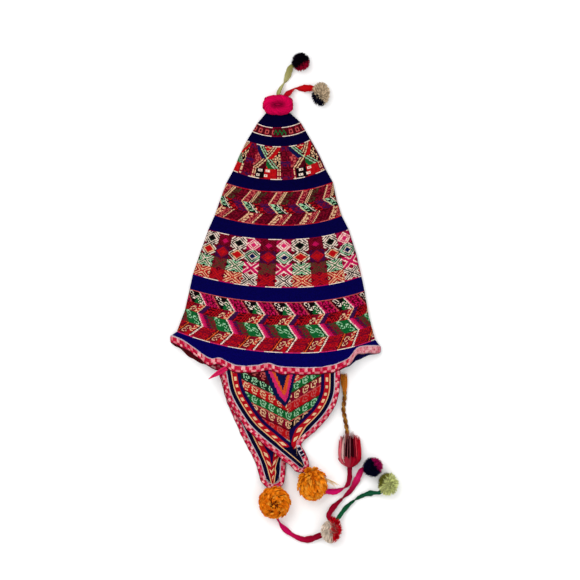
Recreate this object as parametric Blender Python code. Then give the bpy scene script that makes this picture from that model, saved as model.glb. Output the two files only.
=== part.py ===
"""A knitted chullo hat, lying flat and face up on a surface.

The hollow conical crown has its apex towards +Y and its open mouth towards -Y. A puffy edging runs
round the mouth. The near ear flap hangs from the near rim and lies over the far one, each with its
own edging and a pompom, and knotted cords lead from there to small pompoms, a tassel and a tuft.
Lengths are millimetres until solid() and tube() bring them to metres. z is 0 on the surface.
"""

import math
from collections import namedtuple

import bmesh
import bpy
from mathutils import Matrix, Vector

MM = 0.001
GAP = 0.3

# Crown: a cone of thick knit. Each row crosses it from fold to fold, and height is the near wall's top.
CROWN_WALL = 3.0
CROWN_CAP = 4.0
CROWN_SAG_POWER = 2.3
CROWN_DOME_WIDTH = 2.0
CROWN_DOME_ROUND = 0.6
CROWN_NEAR_SIDES = 26
CROWN_FAR_SIDES = 12
CROWN_FOLD_SIDES = 3
CROWN_CREASE = 0.15
CrownRow = namedtuple("CrownRow", "left_x left_y mid_x mid_y right_x right_y height fold")
CROWN_ROWS = (
    CrownRow(-11.0, 252.0, 4.6, 252.0, 20.2, 252.0, 14.0, 4.5),
    CrownRow(-22.2, 238.6, 4.6, 232.7, 33.8, 239.9, 16.0, 4.6),
    CrownRow(-35.8, 216.2, 9.1, 208.0, 46.8, 217.8, 18.5, 4.7),
    CrownRow(-45.6, 196.6, 8.8, 186.2, 57.7, 198.1, 20.0, 4.8),
    CrownRow(-53.7, 176.8, 8.5, 164.5, 66.6, 178.5, 21.5, 4.9),
    CrownRow(-62.5, 161.2, 7.9, 149.5, 75.7, 162.5, 22.5, 5.0),
    CrownRow(-70.3, 140.0, 8.5, 127.4, 80.5, 140.4, 23.5, 5.1),
    CrownRow(-77.6, 119.0, 9.1, 105.3, 87.3, 118.3, 24.5, 5.2),
    CrownRow(-85.7, 100.8, 9.8, 87.8, 96.2, 101.0, 25.5, 5.3),
    CrownRow(-96.1, 71.5, 10.0, 56.6, 106.0, 70.2, 26.5, 5.4),
    CrownRow(-106.0, 42.5, 10.1, 25.0, 113.0, 39.7, 27.5, 5.5),
    CrownRow(-110.0, 23.7, 10.1, 6.5, 116.9, 21.1, 28.0, 5.6),
    CrownRow(-116.4, -4.6, 10.3, -26.4, 122.1, -10.4, 29.0, 5.8),
    CrownRow(-126.8, -31.9, 10.4, -59.2, 130.7, -42.3, 29.5, 6.0),
)

# Mouth: the ruffled line where the knit ends and the edging begins, seen from above, left to right.
RIM_HEIGHT = 30.0
RIM_FOLD = 6.0
RimPoint = namedtuple("RimPoint", "x y lift", defaults=(0.0,))
NEAR_RIM = (
    RimPoint(-134.0, -37.0, 0.0),
    RimPoint(-118.0, -43.5, 1.0),
    RimPoint(-94.0, -60.0, 0.0),
    RimPoint(-84.0, -66.0, 2.0),
    RimPoint(-70.0, -66.0, 0.0),
    RimPoint(-50.0, -75.0, 2.0),
    RimPoint(-20.0, -75.0, 0.0),
    RimPoint(-9.0, -72.0, 2.0),
    RimPoint(6.0, -76.5, 0.0),
    RimPoint(50.0, -78.0, 2.0),
    RimPoint(76.0, -74.5, 0.0),
    RimPoint(96.0, -66.0, 1.0),
    RimPoint(106.0, -54.0, 3.0),
    RimPoint(118.0, -50.5, 3.0),
    RimPoint(137.0, -50.5, 0.0),
)
FAR_RIM = (
    RimPoint(-134.0, -37.0),
    RimPoint(-102.0, -60.0),
    RimPoint(-70.0, -73.0),
    RimPoint(0.0, -80.0),
    RimPoint(60.0, -79.0),
    RimPoint(96.0, -68.0),
    RimPoint(110.0, -57.5),
    RimPoint(137.0, -50.5),
)

# Edging of the mouth: a puffy woven band sewn to the rim all the way round.
EDGING_WIDTH = 10.5
EDGING_THICKNESS = 5.0
EDGING_ROUND = 1.3
EDGING_TUCK = 1.0
EDGING_PROUD = 0.5

# Ear flaps: triangles of knit that narrow to a tail. Each row crosses one from edge to edge.
FLAP_THICKNESS = 3.0
FLAP_BAND_WIDTH = 7.0
FLAP_BAND_THICKNESS = 4.0
FLAP_BAND_ROUND = 1.1
FLAP_SEAM_GAP = 0.6
FLAP_SIDES = 10
FLAP_STEPS_PER_ROW = 3
FLAP_END_SIDES = 6
FLAP_TIP_SHARE = 0.15
FlapRow = namedtuple("FlapRow", "left_x left_y right_x right_y")
NEAR_FLAP_ROWS = (
    FlapRow(-69.5, -86.0, 85.0, -88.0),
    FlapRow(-63.5, -111.0, 83.5, -113.0),
    FlapRow(-51.5, -135.5, 73.0, -138.0),
    FlapRow(-36.0, -158.0, 55.0, -159.0),
    FlapRow(-17.0, -176.0, 36.5, -175.5),
    FlapRow(-2.5, -187.5, 36.0, -182.0),
    FlapRow(8.0, -196.0, 40.0, -189.0),
    FlapRow(17.5, -203.5, 43.0, -196.0),
    FlapRow(25.5, -210.0, 44.5, -201.0),
)
FAR_FLAP_ROWS = (
    FlapRow(-72.0, -86.0, 76.0, -90.0),
    FlapRow(-65.0, -113.0, 66.0, -114.0),
    FlapRow(-57.0, -135.0, 51.0, -136.0),
    FlapRow(-46.5, -158.5, 36.0, -159.0),
    FlapRow(-36.0, -180.5, 23.0, -181.0),
    FlapRow(-26.5, -198.0, 15.5, -198.0),
    FlapRow(-22.0, -211.0, 14.5, -211.0),
    FlapRow(-18.5, -222.0, 13.5, -221.0),
)
NEAR_FLAP_HANG = 5.0
NEAR_FLAP_REST = 4.8
NEAR_FLAP_DROP = 78.0
NEAR_TAIL_START_Y = -180.0
NEAR_TAIL_RUN = 32.0
NEAR_TAIL_RISE = 7.5
FAR_TAIL_START_Y = -203.0
FAR_TAIL_RUN = 32.0
FAR_TAIL_RISE = 10.0
# The near tail is pleated: its left half laps over its right half along this line.
PLEAT_TOP = (18.0, -150.0)
PLEAT_FOOT = (37.0, -206.0)
PLEAT_LIFT = 3.0
PLEAT_GROWTH = 0.5
PLEAT_SOFTNESS = 6.0

# Pompoms: a round head of cut yarn, in locks. Where something is sewn on, a flat seat is pressed in.
LOCK_BASE = 0.88
LOCK_TAPER = 0.66
SEAT_DEPTH = 0.80
FOOT_DEPTH = 0.86

# Tassel and tuft, both opening towards +Y. Each has a short head and a ring of tapered strips.
Tassel = namedtuple(
    "Tassel", "name x y head_radius head_length strip_length mouth_x mouth_z strips colour"
)
TASSELS = (
    Tassel("maroon_tassel", 97.5, -206.5, 5.2, 7.0, 36.0, 13.0, 6.5, 12, (110, 20, 40)),
    Tassel("gold_tuft", 91.2, -112.0, 2.9, 5.0, 20.0, 3.9, 2.6, 8, (200, 115, 30)),
)
# A strip grows in steps: how far along, how far spread, and how much of its room it fills there.
StripStep = namedtuple("StripStep", "share spread fill")
STRIP_STEPS = (
    StripStep(0.00, 0.00, 1.00),
    StripStep(0.30, 0.70, 0.90),
    StripStep(0.65, 1.00, 0.80),
    StripStep(1.00, 0.88, 0.35),
)
STRIP_DEPTH = 0.28

# Each pompom's place, seen from above, and its half sizes. It stands on its foot.
Pompom = namedtuple("Pompom", "name x y half_x half_y half_z colour cut_locks")
POMPOMS = (
    Pompom("top_pompom", 4.6, 262.6, 20.0, 12.8, 14.0, (196, 0, 66), True),
    Pompom("near_flap_pompom", 49.0, -228.5, 20.5, 22.5, 20.5, (235, 125, 15), True),
    Pompom("far_flap_pompom", 0.0, -253.0, 21.5, 21.5, 21.0, (235, 125, 15), True),
    Pompom("black_pompom", 34.0, 318.0, 12.0, 12.0, 11.5, (20, 8, 20), False),
    Pompom("beige_pompom", 60.0, 276.0, 12.0, 15.6, 11.5, (185, 160, 130), False),
    Pompom("white_red_pompom", 74.0, -288.5, 14.0, 17.5, 13.0, (200, 120, 100), False),
    Pompom("navy_pompom", 127.5, -207.5, 13.4, 13.0, 12.5, (12, 12, 40), False),
    Pompom("lime_pompom", 147.5, -229.5, 13.6, 15.4, 13.0, (175, 185, 90), False),
)

# Each seat's pompom, and the way it faces from the pompom's middle.
Seat = namedtuple("Seat", "pompom way")
SEATS = {
    "apex": Seat("top_pompom", (0.0, -1.0, 0.0)),
    "olive_top": Seat("top_pompom", (0.02, 1.0, -0.15)),
    "red_top": Seat("top_pompom", (0.42, 0.9, -0.15)),
    "olive_end": Seat("black_pompom", (-0.88, -0.48, -0.15)),
    "red_end": Seat("beige_pompom", (-0.9, 0.38, -0.15)),
    "near_tail": Seat("near_flap_pompom", (-0.45, 0.893, 0.0)),
    "far_tail": Seat("far_flap_pompom", (-0.1, 0.995, 0.0)),
    "magenta_start": Seat("far_flap_pompom", (0.12, -0.86, -0.5)),
    "magenta_end": Seat("white_red_pompom", (-0.92, -0.35, -0.2)),
    "crimson_start": Seat("white_red_pompom", (-0.25, 0.95, -0.2)),
    "crimson_end": Seat("navy_pompom", (-0.93, -0.33, -0.2)),
    "green_start": Seat("white_red_pompom", (0.62, 0.76, -0.2)),
    "green_end": Seat("lime_pompom", (-0.76, -0.62, -0.2)),
    "tassel_start": Seat("near_flap_pompom", (0.82, -0.42, -0.4)),
}

# Each cord's way between its two ends, as x, y and its middle's height z.
ROUTES = {
    "olive_tie": ((9.0, 286.0, 5.0), (13.0, 292.0, 3.6), (17.0, 300.0, 3.4)),
    "red_tie": ((26.0, 283.5, 4.4), (34.0, 283.8, 3.4)),
    "magenta_cord": (
        (9.0, -283.5, 3.2),
        (17.0, -291.5, 3.1),
        (27.0, -298.0, 3.1),
        (38.0, -302.0, 3.1),
        (48.0, -301.0, 3.6),
    ),
    "crimson_cord": (
        (75.0, -262.0, 4.2),
        (81.0, -255.5, 3.1),
        (90.0, -247.0, 3.1),
        (99.5, -237.5, 3.1),
        (106.5, -225.5, 3.6),
    ),
    "green_cord": (
        (92.5, -261.0, 3.4),
        (104.0, -251.0, 2.6),
        (115.0, -244.8, 2.6),
        (127.0, -241.5, 3.4),
    ),
    "tassel_cord": (
        (78.0, -239.8, 3.6),
        (88.0, -236.2, 3.1),
        (95.0, -230.5, 3.6),
        (97.5, -221.0, 5.0),
    ),
    "brown_cord": (
        (95.8, -178.0, 7.4),
        (94.6, -166.0, 6.2),
        (93.4, -155.5, 3.2),
        (91.5, -144.5, 2.1),
        (89.6, -132.5, 2.1),
    ),
}
# Each cord's two seats, its diameter and its colour.
Cord = namedtuple("Cord", "name start end diameter colour")
CORDS = (
    Cord("olive_tie", "olive_top", "olive_end", 6.0, (140, 140, 75)),
    Cord("red_tie", "red_top", "red_end", 6.0, (165, 5, 5)),
    Cord("magenta_cord", "magenta_start", "magenta_end", 6.0, (190, 10, 85)),
    Cord("crimson_cord", "crimson_start", "crimson_end", 6.0, (130, 5, 35)),
    Cord("green_cord", "green_start", "green_end", 5.0, (15, 75, 45)),
    Cord("tassel_cord", "tassel_start", "maroon_tassel_back", 6.0, (160, 10, 60)),
    Cord("brown_cord", "maroon_tassel_front", "gold_tuft_back", 4.0, (90, 50, 20)),
)
CORD_LEAD = 5.0
CORD_SPACING = 2.0
CORD_LEAST_PARTS = 4
CORD_ROUNDING = 2
CORD_CLEARANCE = 0.05
CURVE_STEPS = 8

# Loose end of yarn, which lies on the corner of the near flap.
YARN_BASE = (-62.5, -80.2, 27.0)
YARN_TIP = (-86.0, -93.5, 25.5)
YARN_HALF_WIDTH = 3.6
YARN_HALF_THICKNESS = 0.8
YARN_SIDES = 8
YARN_POINT_SHARE = 0.12
YARN_SEAM_Y = -81.3

# Colours as a screen shows them, in red, green and blue up to 255.
CROWN_COLOUR = (20, 5, 110)
EDGING_COLOUR = (215, 50, 95)
FLAP_COLOUR = (150, 20, 40)
YARN_COLOUR = (215, 50, 95)


def flat(x, y):
    return Vector((x, y, 0.0))


def ease(amount):
    amount = min(1.0, max(0.0, amount))
    return amount * amount * (3.0 - 2.0 * amount)


def mix(a, b, amount):
    return a + (b - a) * amount


def curve_at(start, end, slope_in, slope_out, u):
    """The value of a smooth curve at u, from 0 at its start to 1 at its end."""
    value = start * (2 * u**3 - 3 * u**2 + 1) + end * (3 * u**2 - 2 * u**3)
    return value + slope_in * (u**3 - 2 * u**2 + u) + slope_out * (u**3 - u**2)


def smooth_value(points, x, column):
    """The value of a named column at x, on a smooth curve through the points of a table."""
    last = len(points) - 1
    i = 0
    while i < last - 1 and x > points[i + 1].x:
        i += 1
    before = points[max(i - 1, 0)]
    after = points[min(i + 2, last)]
    here = points[i].x
    there = points[i + 1].x
    start = getattr(points[i], column)
    end = getattr(points[i + 1], column)
    slope_in = (end - getattr(before, column)) / (there - before.x) * (there - here)
    slope_out = (getattr(after, column) - start) / (after.x - here) * (there - here)
    return curve_at(start, end, slope_in, slope_out, min(1.0, max(0.0, (x - here) / (there - here))))


def smooth_rows(rows, steps):
    """The rows with steps - 1 more between each pair, on a smooth curve through every column."""
    vectors = [Vector(row) for row in rows]
    found = []
    for i in range(len(vectors) - 1):
        start = vectors[i]
        end = vectors[i + 1]
        slope_in = (end - vectors[i - 1]) * 0.5 if i else end - start
        slope_out = (vectors[i + 2] - start) * 0.5 if i + 2 < len(vectors) else end - start
        for k in range(steps):
            found.append(curve_at(start, end, slope_in, slope_out, k / steps))
    return found + [vectors[-1]]


def material(name, colour, roughness=0.95):
    """A cloth-like finish of a colour that is given as a screen shows it."""
    linear = [((c / 255 + 0.055) / 1.055) ** 2.4 if c > 10 else c / 255 / 12.92 for c in colour]
    made = bpy.data.materials.new(name)
    made.use_nodes = True
    shader = made.node_tree.nodes["Principled BSDF"]
    shader.inputs["Base Color"].default_value = (*linear, 1.0)
    shader.inputs["Roughness"].default_value = roughness
    shader.inputs["Metallic"].default_value = 0.0
    return made


def solid(name, bm, colour):
    """Turns a bmesh in millimetres into a named object in metres, with its faces pointing out."""
    bmesh.ops.recalc_face_normals(bm, faces=bm.faces)
    bmesh.ops.scale(bm, vec=(MM, MM, MM), verts=bm.verts)
    mesh = bpy.data.meshes.new(name)
    bm.to_mesh(mesh)
    bm.free()
    mesh.materials.append(material(name, colour))
    bpy.context.scene.collection.objects.link(bpy.data.objects.new(name, mesh))


def loft(bm, rings, closed=False, sheet=False):
    """Joins rings of points into a tube, with an end cap on each end unless it closes on itself.

    The rings of a sheet run along its underside and back over its top, and their caps are strips.
    """
    loops = [[bm.verts.new(point) for point in ring] for ring in rings]
    pairs = list(zip(loops, loops[1:]))
    if closed:
        pairs.append((loops[-1], loops[0]))
    for a, b in pairs:
        for k in range(len(a)):
            after = (k + 1) % len(a)
            bm.faces.new((a[k], a[after], b[after], b[k]))
    for loop in () if closed else (loops[0], loops[-1]):
        if sheet:
            for k in range(len(loop) // 2 - 1):
                bm.faces.new((loop[k], loop[k + 1], loop[-k - 2], loop[-k - 1]))
        else:
            bm.faces.new(loop)


# Crown


def crown_place(step, place, far):
    """Where a row lies, seen from above: place runs from -1 at the left fold to 1 at the right one."""
    lower = len(CROWN_ROWS) - 1
    i = min(int(step), lower)
    points = []
    for index in (i, i + 1):
        if index > lower:
            x = mix(NEAR_RIM[0].x, NEAR_RIM[-1].x, (place + 1.0) / 2.0)
            y = smooth_value(FAR_RIM if far else NEAR_RIM, x, "y")
        else:
            row = CROWN_ROWS[index]
            x = row.mid_x + (row.right_x - row.left_x) / 2.0 * place
            x += ((row.left_x + row.right_x) / 2.0 - row.mid_x) * place**2
            y = row.mid_y + (row.right_y - row.left_y) / 2.0 * place
            y += ((row.left_y + row.right_y) / 2.0 - row.mid_y) * abs(place) ** CROWN_SAG_POWER
        points.append(flat(x, y))
    return points[0].lerp(points[1], step - i)


def crown_size(step):
    """Half the width of a row, the height of its near wall and the radius of its folds."""
    rim = CROWN_ROWS[-1]._replace(
        left_x=NEAR_RIM[0].x, right_x=NEAR_RIM[-1].x, height=RIM_HEIGHT, fold=RIM_FOLD
    )
    rows = CROWN_ROWS + (rim,)
    i = min(int(step), len(rows) - 2)
    size = Vector(rows[i]).lerp(Vector(rows[i + 1]), step - i)
    row = CrownRow(*size)
    return (row.right_x - row.left_x) / 2, row.height, row.fold


def near_height(place, height, fold):
    dome = max(0.0, 1.0 - abs(place) ** CROWN_DOME_WIDTH) ** CROWN_DOME_ROUND
    return fold + (height - fold) * dome


def crown_section(step):
    """The outer and the inner ring of a row, each from the left fold over the near wall and back.

    Each outline point has its way across, its height, the direction into the wall and its side.
    """
    half, height, fold = crown_size(step)
    outline = []
    for k in range(CROWN_NEAR_SIDES + 1):
        place = -math.cos(math.pi * k / CROWN_NEAR_SIDES)
        outline.append([place * half, near_height(place, height, fold), None, False])
    for k in range(1, CROWN_NEAR_SIDES):
        along = Vector(outline[k + 1][:2]) - Vector(outline[k - 1][:2])
        outline[k][2] = Vector((along.y, -along.x)).normalized()
    outline[0][2] = Vector((1.0, 0.0))
    outline[-1][2] = Vector((-1.0, 0.0))
    turns = [math.pi / 2 * k / CROWN_FOLD_SIDES for k in range(1, CROWN_FOLD_SIDES + 1)]
    for turn in turns:
        into = Vector((-math.cos(turn), math.sin(turn)))
        outline.append([half - fold - fold * into.x, fold - fold * into.y, into, True])
    for k in range(1, CROWN_FAR_SIDES):
        across = mix(half - fold, fold - half, k / CROWN_FAR_SIDES)
        outline.append([across, 0.0, Vector((0.0, 1.0)), True])
    for turn in turns[::-1]:
        into = Vector((math.cos(turn), math.sin(turn)))
        outline.append([fold - half - fold * into.x, fold - fold * into.y, into, True])
    outer = []
    inner = []
    for k, (across, z, into, far) in enumerate(outline):
        inner_z = z + into.y * CROWN_WALL
        if not far:
            inner_z = max(inner_z, fold + CROWN_CREASE * min(k, CROWN_NEAR_SIDES - k))
        for ring, a, b in ((outer, across, z), (inner, across + into.x * CROWN_WALL, inner_z)):
            point = crown_place(step, a / half, far)
            point.z = b
            ring.append(point)
    return outer, inner


def lift_rim(ring, share):
    """Raises the near wall of a ring into the ruffles of the rim."""
    for k in range(CROWN_NEAR_SIDES + 1):
        ring[k].z += smooth_value(NEAR_RIM, ring[k].x, "lift") * share


def make_crown():
    """The hollow cone. Returns the outer and the inner ring of its rim."""
    rim_step = len(CROWN_ROWS)
    steps = list(range(rim_step)) + [rim_step - 0.5, rim_step]
    outer = []
    inner = []
    for step in steps:
        rings = crown_section(step)
        share = max(0.0, step - rim_step + 1.0)
        for ring in rings:
            lift_rim(ring, share)
        outer.append(rings[0])
        inner.append(rings[1])
    inner[0] = crown_section(CROWN_CAP / (CROWN_ROWS[0].left_y - CROWN_ROWS[1].left_y))[1]
    bm = bmesh.new()
    loft(bm, outer + inner[::-1])
    solid("crown", bm, CROWN_COLOUR)
    return outer[-1], inner[-1]


# Edging of the mouth


def rounded_profile(width, thickness, corner):
    """The corners of a band's section, as the way out from its inner edge and up from its underside."""
    return (
        (0.0, corner),
        (corner, 0.0),
        (width - corner, 0.0),
        (width, corner),
        (width, thickness - corner),
        (width - corner, thickness),
        (corner, thickness),
        (0.0, thickness - corner),
    )


def make_rim_edging(outer, inner):
    """A band swept round the rim. Returns the lines of its lower edge on the near and the far side."""
    half = EDGING_THICKNESS / 2
    profile = rounded_profile(EDGING_WIDTH, EDGING_THICKNESS, EDGING_ROUND)
    rings = []
    for outer_point, inner_point in zip(outer, inner):
        across = (outer_point - inner_point).normalized()
        proud = mix(-EDGING_TUCK, EDGING_PROUD, (across.z + 1.0) / 2.0)
        middle = (outer_point + inner_point) / 2 + across * proud
        rings.append([middle + across * (up - half) + flat(0.0, -GAP - out) for out, up in profile])
    bm = bmesh.new()
    loft(bm, rings, closed=True)
    solid("rim_edging", bm, EDGING_COLOUR)
    hem = [((r[3].x + r[4].x) / 2, min(r[3].y, r[4].y) - FLAP_SEAM_GAP) for r in rings]
    return sorted(hem[: CROWN_NEAR_SIDES + 1]), sorted(hem[CROWN_NEAR_SIDES:] + hem[:1])


# Ear flaps


def hem_at(line, x):
    """How far down the edging reaches at x, where the flap's top edge lies."""
    i = 0
    while i < len(line) - 2 and x > line[i + 1][0]:
        i += 1
    return mix(line[i][1], line[i + 1][1], (x - line[i][0]) / (line[i + 1][0] - line[i][0]))


def near_flap_bottom(point, hem):
    """The height of the near flap's underside: from the near rim down onto the far flap."""
    place = 2.0 * (point.x - NEAR_RIM[0].x) / (NEAR_RIM[-1].x - NEAR_RIM[0].x) - 1.0
    lift = smooth_value(NEAR_RIM, point.x, "lift")
    top = near_height(place, RIM_HEIGHT, RIM_FOLD) + lift - NEAR_FLAP_HANG
    down = ease((hem_at(hem, point.x) - point.y) / NEAR_FLAP_DROP)
    bottom = mix(top, NEAR_FLAP_REST, down)
    bottom += NEAR_TAIL_RISE * ease((NEAR_TAIL_START_Y - point.y) / NEAR_TAIL_RUN)
    along = (PLEAT_TOP[1] - point.y) / (PLEAT_TOP[1] - PLEAT_FOOT[1])
    left_of_pleat = mix(PLEAT_TOP[0], PLEAT_FOOT[0], along) - point.x
    lap = ease(0.5 + left_of_pleat / PLEAT_SOFTNESS)
    return bottom + PLEAT_LIFT * ease(along / PLEAT_GROWTH) * lap


def far_flap_bottom(point, hem):
    """The height of the far flap's underside, which lies on the surface up to its raised tail."""
    return FAR_TAIL_RISE * ease((FAR_TAIL_START_Y - point.y) / FAR_TAIL_RUN)


def inward(points, k, turn):
    """The direction from an edge into the flap, square to the edge."""
    along = points[min(k + 1, len(points) - 1)] - points[max(k - 1, 0)]
    return Matrix.Rotation(turn, 3, "Z") @ along.normalized()


def flap_edges(rows, hem):
    """The two outer edges of a flap, from the rim down, with the first points on the hem."""
    smooth = smooth_rows(rows, FLAP_STEPS_PER_ROW)
    left = [flat(row[0], row[1]) for row in smooth]
    right = [flat(row[2], row[3]) for row in smooth]
    for edge, side in ((left, 1.0), (right, -1.0)):
        x = edge[0].x
        edge[0].y = min(hem_at(hem, x + side * FLAP_BAND_WIDTH * share) for share in (0.0, 0.5, 1.0))
    return left, right


def make_flap_panel(name, left, right, hem, bottom, end):
    """The knitted panel inside the band, from the rim to its narrow tip in the bend of the band."""
    bm = bmesh.new()
    rings = []
    reach = FLAP_BAND_WIDTH + GAP
    sides = []
    for k in range(len(left)):
        start = left[k] + inward(left, k, math.pi / 2) * reach
        stop = right[k] + inward(right, k, -math.pi / 2) * reach
        sides.append((start, stop))
    sides[0] = (left[0] + flat(reach, 0.0), right[0] - flat(reach, 0.0))
    middle, way, far_reach = end
    tip = middle - way * (far_reach - reach - GAP)
    half_tip = (sides[-1][1] - sides[-1][0]) * FLAP_TIP_SHARE / 2
    sides.append((tip - half_tip, tip + half_tip))
    for k, (start, stop) in enumerate(sides):
        row = [start.lerp(stop, j / FLAP_SIDES) for j in range(FLAP_SIDES + 1)]
        if k == 0:
            for point in row:
                point.y = hem_at(hem, point.x)
        under = [point + Vector((0, 0, bottom(point, hem))) for point in row]
        over = [point + Vector((0, 0, FLAP_THICKNESS)) for point in under]
        rings.append(under + over[::-1])
    loft(bm, rings, sheet=True)
    solid(name, bm, FLAP_COLOUR)


def flap_end(left, right, seat):
    """The middle of a flap's last row, the way there from the pompom, and how far the seat is."""
    middle = left[-1].lerp(right[-1], 0.5)
    point, way = seat
    return middle, way, (middle - flat(point.x, point.y)).dot(way) - GAP


def make_flap_edging(name, left, right, hem, bottom, end):
    """A band along both edges of a flap and round its end, which reaches the pompom's seat."""
    middle, way, reach = end
    half = (left[-1] - right[-1]).length / 2
    side = (left[-1] - right[-1]).normalized()
    route = [(p, inward(left, k, math.pi / 2)) for k, p in enumerate(left)]
    for k in range(1, FLAP_END_SIDES):
        turn = math.pi * k / FLAP_END_SIDES
        point = middle + side * (half * math.cos(turn)) - way * (reach * math.sin(turn))
        route.append((point, (middle - point).normalized()))
    back = [(p, inward(right, k, -math.pi / 2)) for k, p in enumerate(right)]
    route += back[::-1]
    route[0] = (route[0][0], flat(1.0, 0.0))
    route[-1] = (route[-1][0], flat(-1.0, 0.0))
    profile = rounded_profile(FLAP_BAND_WIDTH, FLAP_BAND_THICKNESS, FLAP_BAND_ROUND)
    rings = []
    for point, into in route:
        ring = []
        for across, up in profile:
            place = point + into * across
            ring.append(place + Vector((0, 0, bottom(place, hem) + up)))
        rings.append(ring)
    bm = bmesh.new()
    loft(bm, rings)
    solid(name, bm, EDGING_COLOUR)


# Pompoms, tassel and tuft


def seat_on(centre, radii, way):
    """The middle of the flat seat that a round head has towards way, and the seat's own direction."""
    way = Vector(way).normalized()
    stretched = Vector([r * r * w for r, w in zip(radii, way)])
    support = math.sqrt(sum((r * w) ** 2 for r, w in zip(radii, way)))
    return Vector(centre) + stretched * (SEAT_DEPTH / support), way


def cut_flat(bm, point, way):
    """Takes off what lies beyond a plane through point, on the side that way faces."""
    whole = bm.verts[:] + bm.edges[:] + bm.faces[:]
    bmesh.ops.bisect_plane(bm, geom=whole, plane_co=point, plane_no=way, clear_outer=True)
    bmesh.ops.holes_fill(bm, edges=[edge for edge in bm.edges if edge.is_boundary], sides=0)


def make_pompom(pompom, centre, radii, seats):
    """A ball in locks: blunt tufts on a large one, pointed ones on a small one."""
    bm = bmesh.new()
    bmesh.ops.create_icosphere(bm, subdivisions=2, radius=LOCK_BASE)
    if pompom.cut_locks:
        made = bmesh.ops.extrude_discrete_faces(bm, faces=bm.faces)
        for face in made["faces"]:
            middle = face.calc_center_median()
            tip = middle.normalized()
            for vert in face.verts:
                vert.co = tip + (vert.co - middle) * LOCK_TAPER
    else:
        made = bmesh.ops.poke(bm, faces=bm.faces)
        for vert in made["verts"]:
            vert.co = vert.co.normalized()
    bmesh.ops.scale(bm, vec=radii, verts=bm.verts)
    bmesh.ops.translate(bm, vec=centre, verts=bm.verts)
    for point, way in seats:
        cut_flat(bm, point, way)
    cut_flat(bm, flat(centre.x, centre.y), Vector((0.0, 0.0, -1.0)))
    solid(pompom.name, bm, pompom.colour)


def ring_size(tassel, step):
    """Half the width and half the height of the ring of strips at a step."""
    wide = mix(tassel.head_radius, tassel.mouth_x, step.spread)
    high = mix(tassel.head_radius, tassel.mouth_z, step.spread)
    return wide, high


def make_tassel(tassel):
    """A short head with a ring of tapered strips that open like a bell, flattened on the surface.

    It is built along +Z and then laid down along +Y. Returns the seats at its back and its front.
    """
    bm = bmesh.new()
    bmesh.ops.create_cone(
        bm,
        cap_ends=True,
        segments=tassel.strips,
        radius1=tassel.head_radius,
        radius2=tassel.head_radius,
        depth=tassel.head_length,
    )
    front = max(bm.faces, key=lambda face: face.calc_center_median().z)
    depth = tassel.head_radius * STRIP_DEPTH
    faces = bmesh.ops.inset_individual(bm, faces=[front], thickness=depth)["faces"]
    for before, step in zip(STRIP_STEPS, STRIP_STEPS[1:]):
        old_wide, old_high = ring_size(tassel, before)
        wide, high = ring_size(tassel, step)
        along = tassel.head_length / 2 + tassel.strip_length * step.share
        faces = bmesh.ops.extrude_discrete_faces(bm, faces=faces)["faces"]
        for face in faces:
            middle = face.calc_center_median()
            out = flat(middle.x / old_wide, middle.y / old_high).normalized()
            old_room = math.hypot(old_wide * out.y, old_high * out.x) * before.fill
            room = math.hypot(wide * out.y, high * out.x) * step.fill
            target = Vector((out.x * wide, out.y * high, along))
            for vert in face.verts:
                vert.co = target + (vert.co - middle) * (room / old_room)
    bmesh.ops.rotate(bm, matrix=Matrix.Rotation(-math.pi / 2, 3, "X"), verts=bm.verts)
    height = -min(vert.co.z for vert in bm.verts)
    back = Vector((tassel.x, tassel.y, height))
    ahead = flat(0.0, tassel.head_length)
    bmesh.ops.translate(bm, vec=back + ahead / 2, verts=bm.verts)
    solid(tassel.name, bm, tassel.colour)
    return (back, flat(0.0, -1.0)), (back + ahead, flat(0.0, 1.0))


# Cords


def tube(cord, route):
    """A round cord along a smooth curve through the route, laid no lower than the surface.

    Its first and last stretches are straight, so that its ends face their seats squarely.
    """
    path = smooth_rows(route, CURVE_STEPS)[CURVE_STEPS:-CURVE_STEPS]
    lengths = [(b - a).length for a, b in zip(path, path[1:])]
    total = sum(lengths)
    count = max(CORD_LEAST_PARTS, round(total / (cord.diameter * CORD_SPACING)))
    picked = [route[0]]
    for k in range(count + 1):
        left = total * k / count
        i = 0
        while i < len(lengths) - 1 and left > lengths[i]:
            left -= lengths[i]
            i += 1
        picked.append(path[i].lerp(path[i + 1], min(1.0, left / lengths[i])))
    picked.append(route[-1])
    curve = bpy.data.curves.new(cord.name, "CURVE")
    curve.dimensions = "3D"
    curve.bevel_depth = cord.diameter / 2 * MM
    curve.bevel_resolution = CORD_ROUNDING
    curve.use_fill_caps = True
    spline = curve.splines.new("POLY")
    spline.points.add(len(picked) - 1)
    for point, place in zip(spline.points, picked):
        z = max(place.z, cord.diameter / 2 + CORD_CLEARANCE)
        point.co = (place.x * MM, place.y * MM, z * MM, 1.0)
    curve.materials.append(material(cord.name, cord.colour))
    bpy.context.scene.collection.objects.link(bpy.data.objects.new(cord.name, curve))


def sewn_on(seat):
    """Where a cord begins on a seat: square to it, a little clear of it."""
    point, way = seat
    return [point + way * GAP, point + way * (GAP + CORD_LEAD)]


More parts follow.
